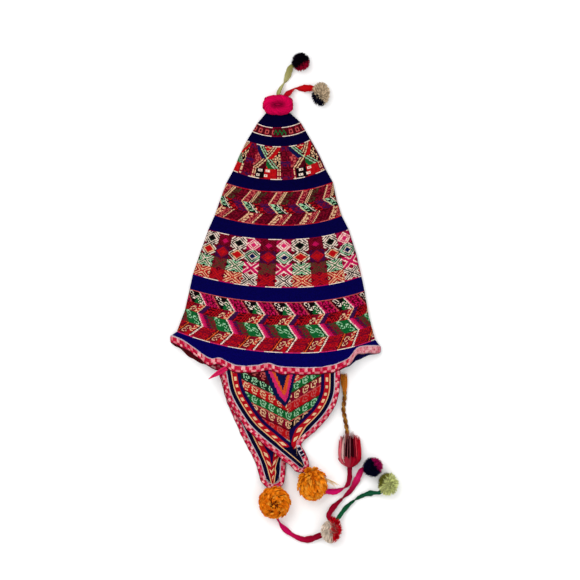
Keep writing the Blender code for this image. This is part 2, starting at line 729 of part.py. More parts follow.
def make_yarn_end():
    base = Vector(YARN_BASE)
    along = Vector(YARN_TIP) - base
    bm = bmesh.new()
    bmesh.ops.create_cone(
        bm,
        cap_ends=True,
        segments=YARN_SIDES,
        radius1=YARN_HALF_WIDTH,
        radius2=YARN_HALF_WIDTH * YARN_POINT_SHARE,
        depth=along.length,
    )
    bmesh.ops.scale(bm, vec=(1.0, YARN_HALF_THICKNESS / YARN_HALF_WIDTH, 1.0), verts=bm.verts)
    way = along.normalized()
    up = Vector((0.0, 0.0, 1.0))
    across = up.cross(way).normalized()
    turn = Matrix((across, way.cross(across), way)).transposed()
    bmesh.ops.rotate(bm, matrix=turn, verts=bm.verts)
    bmesh.ops.translate(bm, vec=base + along / 2, verts=bm.verts)
    cut_flat(bm, flat(0.0, YARN_SEAM_Y), (0.0, 1.0, 0.0))
    solid("yarn_end", bm, YARN_COLOUR)


def main():
    for old in list(bpy.data.objects):
        bpy.data.objects.remove(old)
    outer_rim, inner_rim = make_crown()
    near_hem, far_hem = make_rim_edging(outer_rim, inner_rim)

    seats = {}
    for pompom in POMPOMS:
        centre = Vector((pompom.x, pompom.y, FOOT_DEPTH * pompom.half_z))
        radii = (pompom.half_x, pompom.half_y, pompom.half_z)
        own = {}
        for name, seat in SEATS.items():
            if seat.pompom == pompom.name:
                own[name] = seat_on(centre, radii, seat.way)
        make_pompom(pompom, centre, radii, own.values())
        seats.update(own)

    flaps = (
        ("near_flap", NEAR_FLAP_ROWS, near_hem, near_flap_bottom, seats["near_tail"]),
        ("far_flap", FAR_FLAP_ROWS, far_hem, far_flap_bottom, seats["far_tail"]),
    )
    for name, rows, hem, bottom, seat in flaps:
        left, right = flap_edges(rows, hem)
        end = flap_end(left, right, seat)
        make_flap_panel(name, left, right, hem, bottom, end)
        make_flap_edging(name + "_edging", left, right, hem, bottom, end)

    for tassel in TASSELS:
        seats[tassel.name + "_back"], seats[tassel.name + "_front"] = make_tassel(tassel)
    for cord in CORDS:
        middle = [Vector(point) for point in ROUTES[cord.name]]
        route = sewn_on(seats[cord.start]) + middle + sewn_on(seats[cord.end])[::-1]
        tube(cord, route)
    make_yarn_end()


main()
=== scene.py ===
import math

import bmesh
import bpy
import numpy as np
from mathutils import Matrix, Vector, noise


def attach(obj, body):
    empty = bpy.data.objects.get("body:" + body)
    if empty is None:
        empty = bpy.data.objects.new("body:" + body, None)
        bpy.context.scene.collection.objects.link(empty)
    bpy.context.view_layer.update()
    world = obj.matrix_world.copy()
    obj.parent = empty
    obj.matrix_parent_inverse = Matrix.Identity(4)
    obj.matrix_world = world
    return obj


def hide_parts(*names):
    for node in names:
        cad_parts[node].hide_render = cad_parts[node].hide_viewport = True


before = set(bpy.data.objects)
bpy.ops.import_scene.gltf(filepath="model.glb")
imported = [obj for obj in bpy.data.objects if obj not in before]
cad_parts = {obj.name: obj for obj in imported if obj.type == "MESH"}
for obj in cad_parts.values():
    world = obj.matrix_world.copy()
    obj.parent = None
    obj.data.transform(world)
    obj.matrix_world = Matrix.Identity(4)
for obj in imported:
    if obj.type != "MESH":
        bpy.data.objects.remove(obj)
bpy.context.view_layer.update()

# Stage: a plain white surface in soft light. The camera looks straight down through a long lens, and
# its view is as wide as the photograph: 580 pixels of 1.3 mm.
MM = 0.001
PIXEL = 1.3
VIEW_WIDTH = 580 * PIXEL * MM
VIEW_CENTRE = Vector((20.15 * MM, 22.1 * MM, 0.0))
LENS = 200.0
SENSOR = 36.0
SKY_STRENGTH = 0.85
LAMPS = (
    # name, place, size, power
    ("key_light", (-0.5, 0.6, 1.5), 1.2, 14.0),
    ("fill_light", (0.7, -0.5, 1.4), 1.6, 6.0),
)
FLOOR_SIZE = 3.0
FLOOR_DROP = 0.4 * MM
FLOOR_GREY = 0.93


def link(made):
    bpy.context.scene.collection.objects.link(made)
    return made


lens = bpy.data.cameras.new("camera")
lens.lens = LENS
lens.sensor_width = SENSOR
camera = link(bpy.data.objects.new("camera", lens))
camera.location = VIEW_CENTRE + Vector((0.0, 0.0, VIEW_WIDTH * LENS / SENSOR))
bpy.context.scene.camera = camera
bpy.context.scene.view_settings.view_transform = "Standard"

world = bpy.data.worlds.new("studio")
world.use_nodes = True
sky = world.node_tree.nodes["Background"].inputs
sky["Color"].default_value = (1.0, 1.0, 1.0, 1.0)
sky["Strength"].default_value = SKY_STRENGTH
bpy.context.scene.world = world
for name, place, size, power in LAMPS:
    lamp = bpy.data.lights.new(name, "AREA")
    lamp.size = size
    lamp.energy = power
    light = link(bpy.data.objects.new(name, lamp))
    light.location = place
    light.rotation_euler = (-Vector(place)).to_track_quat("-Z", "Y").to_euler()

bm = bmesh.new()
bmesh.ops.create_grid(bm, x_segments=1, y_segments=1, size=FLOOR_SIZE / 2)
bmesh.ops.translate(bm, vec=(0.0, 0.0, -FLOOR_DROP), verts=bm.verts)
paper = bpy.data.meshes.new("floor")
bm.to_mesh(paper)
bm.free()
white = bpy.data.materials.new("floor_paper")
white.use_nodes = True
surface = white.node_tree.nodes["Principled BSDF"].inputs
surface["Base Color"].default_value = (FLOOR_GREY, FLOOR_GREY, FLOOR_GREY, 1.0)
surface["Roughness"].default_value = 0.9
paper.materials.append(white)
floor = link(bpy.data.objects.new("floor", paper))


# Cords: flat ribbons of twisted wool yarn, sewn to the pompoms at both ends. They lie limp on the
# surface, and turn over where they look narrow. The brown one is two round plies twisted together.
def screen_colour(shown):
    """Colours as a screen shows them, turned into the linear values that a shader takes."""
    parts = np.array(shown) / 255.0
    return np.where(parts <= 0.04045, parts / 12.92, ((parts + 0.055) / 1.055) ** 2.4)


def unit(vectors):
    return vectors / np.linalg.norm(vectors, axis=-1, keepdims=True)


def grid_places(mesh):
    """Where each vertex of a mesh of flat grids lies on its own grid, from 0 to 1 across and along."""
    places = np.empty(len(mesh.vertices) * 3, dtype=np.float32)
    mesh.vertices.foreach_get("co", places)
    return places.reshape(-1, 3)[:, :2].astype(float) + 0.5


def grid_steps(places, across, along):
    """The column and the row of each place, on a grid of so many faces."""
    return np.rint(places * (across, along)).astype(int).T


def blank_cloth(name, grids):
    """A mesh of flat grids, each so many faces across and along, and its vertices' places."""
    bm = bmesh.new()
    for across, along in grids:
        bmesh.ops.create_grid(bm, x_segments=across, y_segments=along, size=0.5)
    mesh = bpy.data.meshes.new(name)
    bm.to_mesh(mesh)
    bm.free()
    return mesh, grid_places(mesh)


WELD = 0.004


def lay_cloth(mesh, points, weave, colours, closed=False, wall=0.0):
    """Moves a blank cloth's vertices to points in millimetres, then welds it.

    weave holds each vertex's place in the weave, and colours each face's colour. wall is how thick an
    open cloth gets, below itself.
    """
    mesh.vertices.foreach_set("co", (points * MM).astype(np.float32).ravel())
    corners = np.empty(len(mesh.loops), dtype=np.int32)
    mesh.loops.foreach_get("vertex_index", corners)
    layer = mesh.uv_layers.new(name="weave")
    layer.data.foreach_set("uv", weave[corners].astype(np.float32).ravel())
    dye = mesh.color_attributes.new("dye", "FLOAT_COLOR", "CORNER")
    full = np.concatenate([colours, np.ones((len(colours), 1))], axis=1)
    dye.data.foreach_set("color", np.repeat(full, 4, axis=0).astype(np.float32).ravel())
    bm = bmesh.new()
    bm.from_mesh(mesh)
    bmesh.ops.remove_doubles(bm, verts=bm.verts, dist=WELD * MM)
    if wall:
        made = bmesh.ops.extrude_face_region(bm, geom=bm.faces, use_keep_orig=True)["geom"]
        under = [part for part in made if isinstance(part, bmesh.types.BMVert)]
        bmesh.ops.translate(bm, vec=(0.0, 0.0, -wall * MM), verts=under)
    if closed or wall:
        bmesh.ops.recalc_face_normals(bm, faces=bm.faces)
    for face in bm.faces:
        face.smooth = True
    bm.to_mesh(mesh)
    bm.free()


def show(name, mesh, finish, node):
    """Makes a piece of a mesh. It rides with the hat, and stands for one of its solids."""
    mesh.materials.append(finish)
    made = link(bpy.data.objects.new(name, mesh))
    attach(made, "root")
    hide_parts(node)
    return made


def add_node(tree, kind, inputs, output, operation=None):
    """Adds a shader node and returns one of its outputs. inputs are values or outputs of other nodes."""
    node = tree.nodes.new("ShaderNode" + kind)
    if operation:
        node.operation = operation
    for key, value in inputs.items():
        if isinstance(value, bpy.types.NodeSocket):
            tree.links.new(value, node.inputs[key])
        else:
            node.inputs[key].default_value = value
    return node.outputs[output]


def calculate(tree, operation, *values):
    return add_node(tree, "Math", dict(enumerate(values)), "Value", operation)


def ridge_height(tree, place, count):
    """The height of round ridges at a place, so many of them to its unit."""
    turn = calculate(tree, "MULTIPLY", place, math.pi * count)
    return calculate(tree, "ABSOLUTE", calculate(tree, "SINE", turn))


def wool_finish(name, relief, ply, strength, distance, shade, roots=None):
    """Dyed wool: its colour is the dye on each face, mottled by its fibres and darkened by painted shade,
    with a relief of its own.

    relief(tree, weave) returns the relief's height. ply is how many fibres fill a unit of the weave, and
    shade how much painted shade darkens the relief's hollows. roots is a strand's share of light at its
    root, where painted shade darkens it, and where along the strand that share is full.
    """
    made = bpy.data.materials.new(name)
    made.use_nodes = True
    tree = made.node_tree
    shader = tree.nodes["Principled BSDF"].inputs
    shader["Roughness"].default_value = 0.9
    shader["Specular IOR Level"].default_value = 0.01
    dye = tree.nodes.new("ShaderNodeAttribute")
    dye.attribute_name = "dye"
    uv_map = tree.nodes.new("ShaderNodeUVMap")
    uv_map.uv_map = "weave"
    weave = uv_map.outputs["UV"]
    stretched = add_node(tree, "Mapping", {"Vector": weave, "Scale": (*ply, 1.0)}, "Vector")
    fibres = add_node(tree, "TexNoise", {"Vector": stretched, "Scale": 1.0, "Detail": 3.0}, "Fac")
    height = relief(tree, weave)
    # Painted shade: the relief's hollows darken the dye.
    depth = add_node(tree, "MapRange", {"Value": height, "To Min": 1.0 - shade}, "Result")
    spread = {"Value": fibres, "From Min": 0.25, "From Max": 0.75, "To Min": 0.80, "To Max": 1.14}
    amount = calculate(tree, "MULTIPLY", depth, add_node(tree, "MapRange", spread, "Result"))
    # Painted shade: a strand darkens towards its root.
    if roots:
        along = add_node(tree, "SeparateXYZ", {"Vector": weave}, "Y")
        rise = {"Value": along, "From Max": roots[1], "To Min": roots[0]}
        amount = calculate(tree, "MULTIPLY", amount, add_node(tree, "MapRange", rise, "Result"))
    tone = {0: dye.outputs["Color"], "Scale": amount}
    tree.links.new(add_node(tree, "VectorMath", tone, "Vector", "SCALE"), shader["Base Color"])
    rough = calculate(tree, "MULTIPLY_ADD", fibres, 0.25, height)
    bump = {"Height": rough, "Strength": strength, "Distance": distance * MM}
    tree.links.new(add_node(tree, "Bump", bump, "Normal"), shader["Normal"])
    return made


def ridges(per_unit_x, per_unit_y):
    """A relief of rounded ridges, so many to a unit of the weave each way. 0 leaves a way plain."""

    def relief(tree, weave):
        heights = []
        for axis, count in (("X", per_unit_x), ("Y", per_unit_y)):
            if count:
                place = add_node(tree, "SeparateXYZ", {"Vector": weave}, axis)
                heights.append(calculate(tree, "POWER", ridge_height(tree, place, count), 0.5))
        return calculate(tree, "MULTIPLY", *heights) if len(heights) == 2 else heights[0]

    return relief


RIBBON_SIDES = 14
RIBBON_STEP = 1.0
RIBBON_WEAVE = 10.0
RIBBON_TWIST = 0.34
END_TUCK = 2.5
CLEARANCE = 0.15
KNOT_PLACE = 0.755
KNOT_REACH = 0.03
KNOT_RISE = 1.4
# Each route runs from seat to seat in millimetres. The tables below it run along the cord from 0 to 1:
# its width, its turn about its own line in degrees, and its colour.
RIBBONS = {
    "olive_tie": dict(
        route=((5.1, 273, 10.2), (5.2, 277.9, 9.4), (9, 286, 5), (13, 292, 3.6), (17, 300, 3.4),
               (21.1, 310.9, 7.8), (25.4, 313.3, 8.5)),
        width=((0, 5.2), (0.25, 5.5), (0.45, 5.5), (0.7, 8.6), (0.85, 7.5), (1, 5)),
        turn=((0, 20), (0.2, 15), (0.42, 85), (0.55, 170), (0.75, 178), (1, 200)),
        dye=((0, 150, 150, 84), (0.5, 176, 172, 118), (1, 128, 124, 66)),
        thickness=2.0, length=48.7, leaves="top_pompom", carries="black_pompom",
    ),
    "red_tie": dict(
        route=((14.1, 271.1, 10.4), (16.1, 275.5, 9.6), (26, 283.5, 4.4), (34, 283.8, 3.4),
               (46.8, 284, 7.8), (51.4, 282.1, 8.6)),
        width=((0, 7), (0.2, 7.5), (0.42, 5), (0.7, 9.4), (0.85, 8.6), (1, 6)),
        turn=((0, 0), (0.2, 12), (0.42, 80), (0.6, 165), (0.8, 178), (1, 190)),
        dye=((0, 160, 10, 30), (0.5, 184, 16, 24), (1, 172, 4, 10)),
        thickness=2.0, length=45.4, leaves="top_pompom", carries="beige_pompom",
    ),
    "magenta_cord": dict(
        route=((2.1, -268.1, 9.7), (2.7, -272.4, 7.2), (9, -283.5, 3.2), (17, -291.5, 3.1),
               (27, -298, 3.1), (38, -302, 3.1), (48, -301, 3.6), (59.2, -296.3, 8.3), (63.8, -294.5, 9.3)),
        width=((0, 4.8), (0.12, 5.5), (0.3, 8.6), (0.42, 6.4), (0.55, 6.4), (0.72, 8.8), (1, 6.5)),
        turn=((0, 60), (0.12, 70), (0.3, 160), (0.42, 215), (0.55, 200), (0.72, 178), (1, 190)),
        dye=((0, 196, 14, 92), (0.45, 188, 12, 78), (0.7, 150, 8, 42), (1, 120, 6, 30)),
        thickness=2.4, length=81.4, leaves="far_flap_pompom", carries="white_red_pompom",
    ),
    "crimson_cord": dict(
        route=((71.6, -274.7, 9.5), (70.4, -269.9, 8.5), (75, -262, 4.2), (81, -255.5, 3.1),
               (90, -247, 3.1), (99.5, -237.5, 3.1), (106.5, -225.5, 3.6), (112.6, -212.6, 7.8),
               (117.3, -210.9, 8.8)),
        width=((0, 6), (0.2, 7.6), (0.4, 6), (0.6, 6.6), (0.78, 8.8), (1, 6)),
        turn=((0, 10), (0.2, 8), (0.38, 60), (0.5, 160), (0.7, 178), (1, 200)),
        dye=((0, 150, 8, 40), (0.4, 128, 5, 32), (0.65, 160, 12, 60), (0.82, 204, 28, 96),
             (1, 150, 10, 60)),
        thickness=2.4, length=83.7, leaves="white_red_pompom", carries="navy_pompom",
    ),
    "green_cord": dict(
        route=((80.2, -276.7, 9.4), (83.3, -272.9, 8.4), (92.5, -261, 3.4), (104, -251, 2.6),
               (115, -244.8, 2.6), (127, -241.5, 3.4), (135.6, -241, 8.2), (139.4, -237.9, 9.2)),
        width=((0, 5), (0.3, 6), (0.5, 5), (0.68, 5.2), (0.755, 8), (0.83, 4.8), (1, 5)),
        turn=((0, 0), (0.25, 10), (0.45, 60), (0.55, 165), (0.75, 180), (1, 190)),
        dye=((0, 22, 92, 56), (0.5, 14, 72, 44), (1, 26, 84, 60)),
        thickness=2.2, length=76.1, leaves="white_red_pompom", carries="lime_pompom",
    ),
    "tassel_cord": dict(
        route=((62.4, -236.7, 11.1), (66.5, -238.8, 9.1), (78, -239.8, 3.6), (88, -236.2, 3.1),
               (95, -230.5, 3.6), (97.5, -221, 5), (97.5, -211.8, 8.3), (97.5, -206.8, 8.3)),
        width=((0, 6), (0.18, 7.6), (0.34, 8.2), (0.5, 5.5), (0.7, 6.4), (1, 6)),
        turn=((0, 0), (0.3, 10), (0.48, 75), (0.6, 170), (0.8, 180), (1, 185)),
        dye=((0, 206, 24, 104), (0.38, 198, 16, 92), (0.55, 150, 8, 46), (1, 128, 6, 34)),
        thickness=2.4, length=62.2, leaves="near_flap_pompom", carries="maroon_tassel",
    ),
}


def smooth(u, start, end, slope_in, slope_out):
    """The value at u, from 0 to 1, of a curve from start to end that has these slopes at its ends."""
    value = (2 * u**3 - 3 * u**2 + 1) * start + (3 * u**2 - 2 * u**3) * end
    return value + (u**3 - 2 * u**2 + u) * slope_in + (u**3 - u**2) * slope_out


def travelled(points):
    """How far along a line each of its points is."""
    return np.concatenate([[0.0], np.cumsum(np.linalg.norm(np.diff(points, axis=0), axis=1))])


def at_places(wanted, places, rows):
    """Rows at the wanted places, between rows whose own places are given."""
    return np.stack([np.interp(wanted, places, rows[:, k]) for k in range(rows.shape[1])], axis=1)


def along_curve(points, spacing):
    """Points at even distances on a smooth curve through a short table of points."""
    table = np.array(points, dtype=float)
    padded = np.concatenate([2 * table[:1] - table[1:2], table, 2 * table[-1:] - table[-2:-1]])
    fine = []
    for before, start, end, after in zip(padded, padded[1:], padded[2:], padded[3:]):
        for u in np.arange(0.0, 1.0, 0.04):
            fine.append(smooth(u, start, end, (end - before) / 2, (after - start) / 2))
    fine = np.array(fine + [table[-1]])
    places = travelled(fine)
    count = max(3, round(places[-1] / spacing))
    return at_places(np.linspace(0.0, places[-1], count + 1), places, fine)


def column_at(table, shares, column=1):
    return np.interp(shares, [row[0] for row in table], [row[column] for row in table])


def cross_ways(centres):
    """The level way and the upward way square to a line, at each of its points."""
    tangent = unit(np.gradient(centres, axis=0))
    side = unit(np.cross(tangent, (0.0, 0.0, 1.0)))
    return side, np.cross(side, tangent)


def sweep(centres, half_width, half_height, turn, sides):
    """Rings round a line: flat ovals that turn about it, none of them lower than the surface."""
    side, up = cross_ways(centres)
    wide = side * np.cos(turn)[:, None] + up * np.sin(turn)[:, None]
    high = up * np.cos(turn)[:, None] - side * np.sin(turn)[:, None]
    angles = np.linspace(0.0, 2 * np.pi, sides + 1)
    across = np.cos(angles)[None, :, None] * (wide * half_width[:, None])[:, None, :]
    over = np.sin(angles)[None, :, None] * (high * half_height[:, None])[:, None, :]
    rings = centres[:, None, :] + across + over
    low = rings[:, :, 2].min(axis=1)
    rings[:, :, 2] += np.maximum(0.0, CLEARANCE - low)[:, None]
    return rings


def cord_ends(centres):
    """The line with a short tuck more at each end, inside what it is sewn to."""
    before = centres[0] - unit(centres[1] - centres[0]) * END_TUCK
    after = centres[-1] + unit(centres[-1] - centres[-2]) * END_TUCK
    return np.concatenate([before[None], centres, after[None]])


chance = np.random.default_rng(3)
cord_wool = wool_finish("cord_wool", ridges(1, 0), ply=(3.0, 1.6), strength=0.7, distance=0.5, shade=0.45)
cord_pieces = {}
for name, cord in RIBBONS.items():
    line = along_curve(cord["route"], RIBBON_STEP)
    centres = cord_ends(line)
    shares = np.linspace(0.0, 1.0, len(centres))
    uneven = 1.0 + 0.06 * np.sin(shares * 37.0 + len(name)) + 0.04 * np.sin(shares * 83.0)
    width = column_at(cord["width"], shares) / 2 * uneven
    thickness = cord["thickness"] / 2 * uneven[::-1]
    if name == "green_cord":
        thickness *= 1.0 + KNOT_RISE * np.exp(-(((shares - KNOT_PLACE) / KNOT_REACH) ** 2))
    turn = np.radians(column_at(cord["turn"], shares))
    rings = sweep(centres, width, thickness, turn, RIBBON_SIDES)
    mesh, places = blank_cloth(name + "_wool", [(RIBBON_SIDES, len(centres) - 1)])
    column, row = grid_steps(places, RIBBON_SIDES, len(centres) - 1)
    around = column / RIBBON_SIDES * RIBBON_WEAVE
    weave = np.stack([around + row * RIBBON_TWIST, row * RIBBON_STEP], axis=1)
    dyes = screen_colour(np.stack([column_at(cord["dye"], shares[1:], k) for k in (1, 2, 3)], axis=1))
    streak = chance.uniform(0.78, 1.15, RIBBON_SIDES)
    colours = (dyes[:, None, :] * streak[None, :, None]).reshape(-1, 3)
    lay_cloth(mesh, rings[row, column], weave, colours, closed=True)
    cord_pieces[name] = (show(name + "_wool", mesh, cord_wool, name), line)

# The brown cord: each ply is a round strand that winds about the cord's line.
PLY_ROUTE = (
    (97.5, -199.2, 8.3), (97.5, -194.2, 8.3), (95.8, -178, 7.4), (94.6, -166, 6.2), (93.4, -155.5, 3.2),
    (91.5, -144.5, 2.1), (89.6, -132.5, 2.1), (91.2, -117.3, 3.3), (91.2, -112.3, 3.3),
)
PLY_RADIUS = 1.6
PLY_REACH = 0.8
PLY_STEP = 0.6
PLY_PITCH = 15.0
PLY_SIDES = 8
PLY_DYES = ((112, 62, 24), (158, 106, 40))
ply_line = along_curve(PLY_ROUTE, PLY_STEP)
centres = cord_ends(ply_line)
steps = len(centres) - 1
mesh, places = blank_cloth("brown_cord_wool", [(PLY_SIDES, steps)] * len(PLY_DYES))
column, row = grid_steps(places[: (PLY_SIDES + 1) * (steps + 1)], PLY_SIDES, steps)
side, up = cross_ways(centres)
radius = np.full(steps + 1, PLY_RADIUS)
points = []
colours = []
for k, dye in enumerate(PLY_DYES):
    angle = (np.arange(steps + 1) * PLY_STEP / PLY_PITCH * 2 * np.pi + np.pi * k)[:, None]
    wound = centres + PLY_RADIUS * PLY_REACH * (side * np.cos(angle) + up * np.sin(angle))
    rings = sweep(wound, radius, radius, np.zeros(steps + 1), PLY_SIDES)
    points.append(rings[row, column])
    tone = chance.uniform(0.75, 1.2, (steps, PLY_SIDES, 1))
    colours.append((tone * screen_colour(dye)).reshape(-1, 3))
weave = np.stack([column * 0.9 + row * 0.5, row * PLY_STEP], axis=1)
lay_cloth(mesh, np.concatenate(points), np.tile(weave, (2, 1)), np.concatenate(colours), closed=True)
brown_cord = show("brown_cord_wool", mesh, cord_wool, "brown_cord")


# Crown: a cone of fine wool knit, worked round in bands of plain blue and of many-coloured patterns.
# It lies flat, with its apex towards +Y and the mouth towards -Y. Every stitch has two slanted legs.
# Lengths are in millimetres, and in the pattern functions in the photograph's pixels.
STITCH_WIDTH = 1.3
STITCH_HEIGHT = 1.06
WALL = 3.0
SAG_POWER = 2.3
DOME_ROUND = 0.6
DENT = 0.9
DENT_FROM = 8.0
NEAR_SIDES = 96
FOLD_SIDES = 6
FAR_SIDES = 30
RIM_HEIGHT = 30.0
RIM_FOLD = 6.0
# Rows across the crown, from fold to fold. height is the top of the near wall, and fold the radius that
# the wall turns round at both sides. The rim is one row more, after the last.
CROWN_ROWS = (
    # left x, left y, middle x, middle y, right x, right y, height, fold
    (-11.0, 252.0, 4.6, 252.0, 20.2, 252.0, 14.0, 4.5),
    (-22.2, 238.6, 4.6, 232.7, 33.8, 239.9, 16.0, 4.6),
    (-35.8, 216.2, 9.1, 208.0, 46.8, 217.8, 18.5, 4.7),
    (-45.6, 196.6, 8.8, 186.2, 57.7, 198.1, 20.0, 4.8),
    (-53.7, 176.8, 8.5, 164.5, 66.6, 178.5, 21.5, 4.9),
    (-62.5, 161.2, 7.9, 149.5, 75.7, 162.5, 22.5, 5.0),
    (-70.3, 140.0, 8.5, 127.4, 80.5, 140.4, 23.5, 5.1),
    (-77.6, 119.0, 9.1, 105.3, 87.3, 118.3, 24.5, 5.2),
    (-85.7, 100.8, 9.8, 87.8, 96.2, 101.0, 25.5, 5.3),
    (-96.1, 71.5, 10.0, 56.6, 106.0, 70.2, 26.5, 5.4),
    (-106.0, 42.5, 10.1, 25.0, 113.0, 39.7, 27.5, 5.5),
    (-110.0, 23.7, 10.1, 6.5, 116.9, 21.1, 28.0, 5.6),
    (-116.4, -4.6, 10.3, -26.4, 122.1, -10.4, 29.0, 5.8),
    (-126.8, -31.9, 10.4, -59.2, 130.7, -42.3, 29.5, 6.0),
)
RIM_STEP = 14.0
NEAR_RIM = (
    # x, y, lift
    (-134.0, -37.0, 0.0),
    (-118.0, -43.5, 1.0),
    (-94.0, -60.0, 0.0),
    (-84.0, -66.0, 2.0),
    (-70.0, -66.0, 0.0),
    (-50.0, -75.0, 2.0),
    (-20.0, -75.0, 0.0),
    (-9.0, -72.0, 2.0),
    (6.0, -76.5, 0.0),
    (50.0, -78.0, 2.0),
    (76.0, -74.5, 0.0),
    (96.0, -66.0, 1.0),
    (106.0, -54.0, 3.0),
    (118.0, -50.5, 3.0),
    (137.0, -50.5, 0.0),
)
FAR_RIM = (
    # x, y
    (-134.0, -37.0),
    (-102.0, -60.0),
    (-70.0, -73.0),
    (0.0, -80.0),
    (60.0, -79.0),
    (96.0, -68.0),
    (110.0, -57.5),
    (137.0, -50.5),
)
# The wool's dyes, as a screen shows them.
DYES = {
    "w": (228, 206, 190),
    "c": (216, 172, 132),
    "p": (204, 38, 96),
    "m": (178, 14, 74),
    "k": (116, 8, 32),
    "r": (172, 14, 20),
    "d": (70, 4, 18),
    "o": (206, 78, 32),
    "g": (14, 88, 40),
    "e": (8, 40, 26),
    "t": (142, 190, 150),
    "v": (62, 52, 32),
    "b": (12, 5, 10),
    "n": (12, 18, 64),
    "u": (52, 14, 62),
    "s": (182, 76, 74),
}
DYED = {key: screen_colour(dye) for key, dye in DYES.items()}
EDGE_LINE = 1.1
BLUE_AT_RIM = (5, 2, 80)
BLUE_AT_APEX = (3, 1, 36)

# Charts of light yarn: a hook that most patterns repeat, the scroll of the lowest pattern, which the
# rising legs have mirrored, and a small square.
CURL = (
    ".###.",
    "#...#",
    "#.#.#",
    "#.##.",
    "#....",
    ".###.",
    ".....",
)
SCROLL = (
    ".###..",
    "#...#.",
    "#...#.",
    "...#..",
    ".##...",
    "#.....",
    "#...#.",
    ".###..",
)
SQUARE = (
    "......",
    ".###..",
    ".#.#..",
    ".###..",
    "......",
)


def curve_value(points, x, column):
    """The value of a column at x, on a smooth curve through points, whose first column is x."""
    last = len(points) - 1
    i = 0
    while i < last - 1 and x > points[i + 1][0]:
        i += 1
    before, start, end, after = (points[k] for k in (max(i - 1, 0), i, i + 1, min(i + 2, last)))
    span = end[0] - start[0]
    slope_in = (end[column] - before[column]) / (end[0] - before[0]) * span
    slope_out = (after[column] - start[column]) / (after[0] - start[0]) * span
    u = min(1.0, max(0.0, (x - start[0]) / span))
    return smooth(u, start[column], end[column], slope_in, slope_out)


def crown_place(step, place, far):
    """Where a row lies, seen from above: place runs from -1 at the left fold to 1 at the right one."""
    lower = len(CROWN_ROWS) - 1
    i = min(int(step), lower)
    points = []
    for index in (i, i + 1):
        if index > lower:
            x = NEAR_RIM[0][0] + (NEAR_RIM[-1][0] - NEAR_RIM[0][0]) * (place + 1.0) / 2.0
            y = curve_value(FAR_RIM if far else NEAR_RIM, x, 1)
        else:
            left_x, left_y, mid_x, mid_y, right_x, right_y = CROWN_ROWS[index][:6]
            x = mid_x + (right_x - left_x) / 2 * place + ((left_x + right_x) / 2 - mid_x) * place**2
            y = mid_y + (right_y - left_y) / 2 * place
            y += ((left_y + right_y) / 2 - mid_y) * abs(place) ** SAG_POWER
        points.append((x, y))
    share = step - i
    return [a + (b - a) * share for a, b in zip(*points)]


def crown_ring(step, depth=0.0):
    """Points round a row, from the left fold over the near wall and back, at a depth in the wall."""
    rim = (NEAR_RIM[0][0], 0, 0, 0, NEAR_RIM[-1][0], 0, RIM_HEIGHT, RIM_FOLD)
    rows = CROWN_ROWS + (rim,)
    i = min(int(step), len(rows) - 2)
    row = [a + (b - a) * (step - i) for a, b in zip(rows[i], rows[i + 1])]
    half, height, fold = (row[4] - row[0]) / 2, row[6], row[7]
    lift_share = max(0.0, step - len(CROWN_ROWS) + 1.0)
    places = -np.cos(np.pi * np.linspace(0.0, 1.0, NEAR_SIDES + 1))
    near = np.stack([places * half, fold + (height - fold) * (1.0 - places**2) ** DOME_ROUND], axis=1)
    along = np.gradient(near, axis=0)
    along[0] = along[-1] * (1, -1)
    near_in = unit(np.stack([along[:, 1], -along[:, 0]], axis=1))
    near_in[0] = (1.0, 0.0)
    near_in[-1] = (-1.0, 0.0)
    turns = np.pi / 2 * np.arange(1, FOLD_SIDES + 1) / FOLD_SIDES
    right_in = np.stack([-np.cos(turns), np.sin(turns)], axis=1)
    right = np.array([half - fold, fold]) - fold * right_in
    far_x = np.linspace(half - fold, fold - half, FAR_SIDES + 1)[1:-1]
    far = np.stack([far_x, np.zeros(len(far_x))], axis=1)
    far_in = np.tile([0.0, 1.0], (len(far), 1))
    left_in = (right_in * (-1, 1))[::-1]
    left = np.array([fold - half, fold]) - fold * left_in
    outline = np.concatenate([near, right, far, left, near[:1]])
    into = np.concatenate([near_in, right_in, far_in, left_in, near_in[:1]])
    moved = outline + into * depth
    if depth:
        steps = np.minimum(np.arange(NEAR_SIDES + 1), NEAR_SIDES - np.arange(NEAR_SIDES + 1))
        moved[: NEAR_SIDES + 1, 1] = np.maximum(moved[: NEAR_SIDES + 1, 1], fold + 0.04 * steps)
    ring = np.empty((len(moved), 3))
    for k, z in enumerate(moved[:, 1]):
        is_near = k <= NEAR_SIDES or k == len(moved) - 1
        x, y = crown_place(step, max(-1.0, min(1.0, outline[k, 0] / half)), not is_near)
        if depth:
            x += into[k, 0] * depth
        if is_near:
            z += curve_value(NEAR_RIM, x, 2) * lift_share
        ring[k] = (x, y, z)
    return ring


def spaced(ring, count, rows=None):
    """A ring's points again, count + 1 of them at even distances. Other rows can be spaced as they are."""
    places = travelled(ring)
    wanted = np.linspace(0.0, places[-1], count + 1)
    return at_places(wanted, places, ring if rows is None else rows)


def stitches_relief(tree, weave):
    """Knit: each unit of the weave is a stitch, whose two legs slant down towards its middle."""
    across = calculate(tree, "FRACT", add_node(tree, "SeparateXYZ", {"Vector": weave}, "X"))
    from_middle = calculate(tree, "ABSOLUTE", calculate(tree, "SUBTRACT", across, 0.5))
    down = add_node(tree, "SeparateXYZ", {"Vector": weave}, "Y")
    loop = ridge_height(tree, calculate(tree, "ADD", down, from_middle), 1)
    return calculate(tree, "POWER", calculate(tree, "MULTIPLY", ridge_height(tree, across, 2), loop), 0.4)


def motif(chart, column, row):
    """Whether a repeated chart has its light yarn at a stitch."""
    line = chart[int(row) % len(chart)]
    return line[int(column) % len(line)] == "#"


def edge_line(x, y, height, colours, dash):
    """The thin dashed line that closes a pattern band at its top and its foot, or None inside it."""
    if y < EDGE_LINE or y > height - EDGE_LINE:
        return colours[0] if int(math.floor(x / dash)) % 2 else colours[1]
    return None


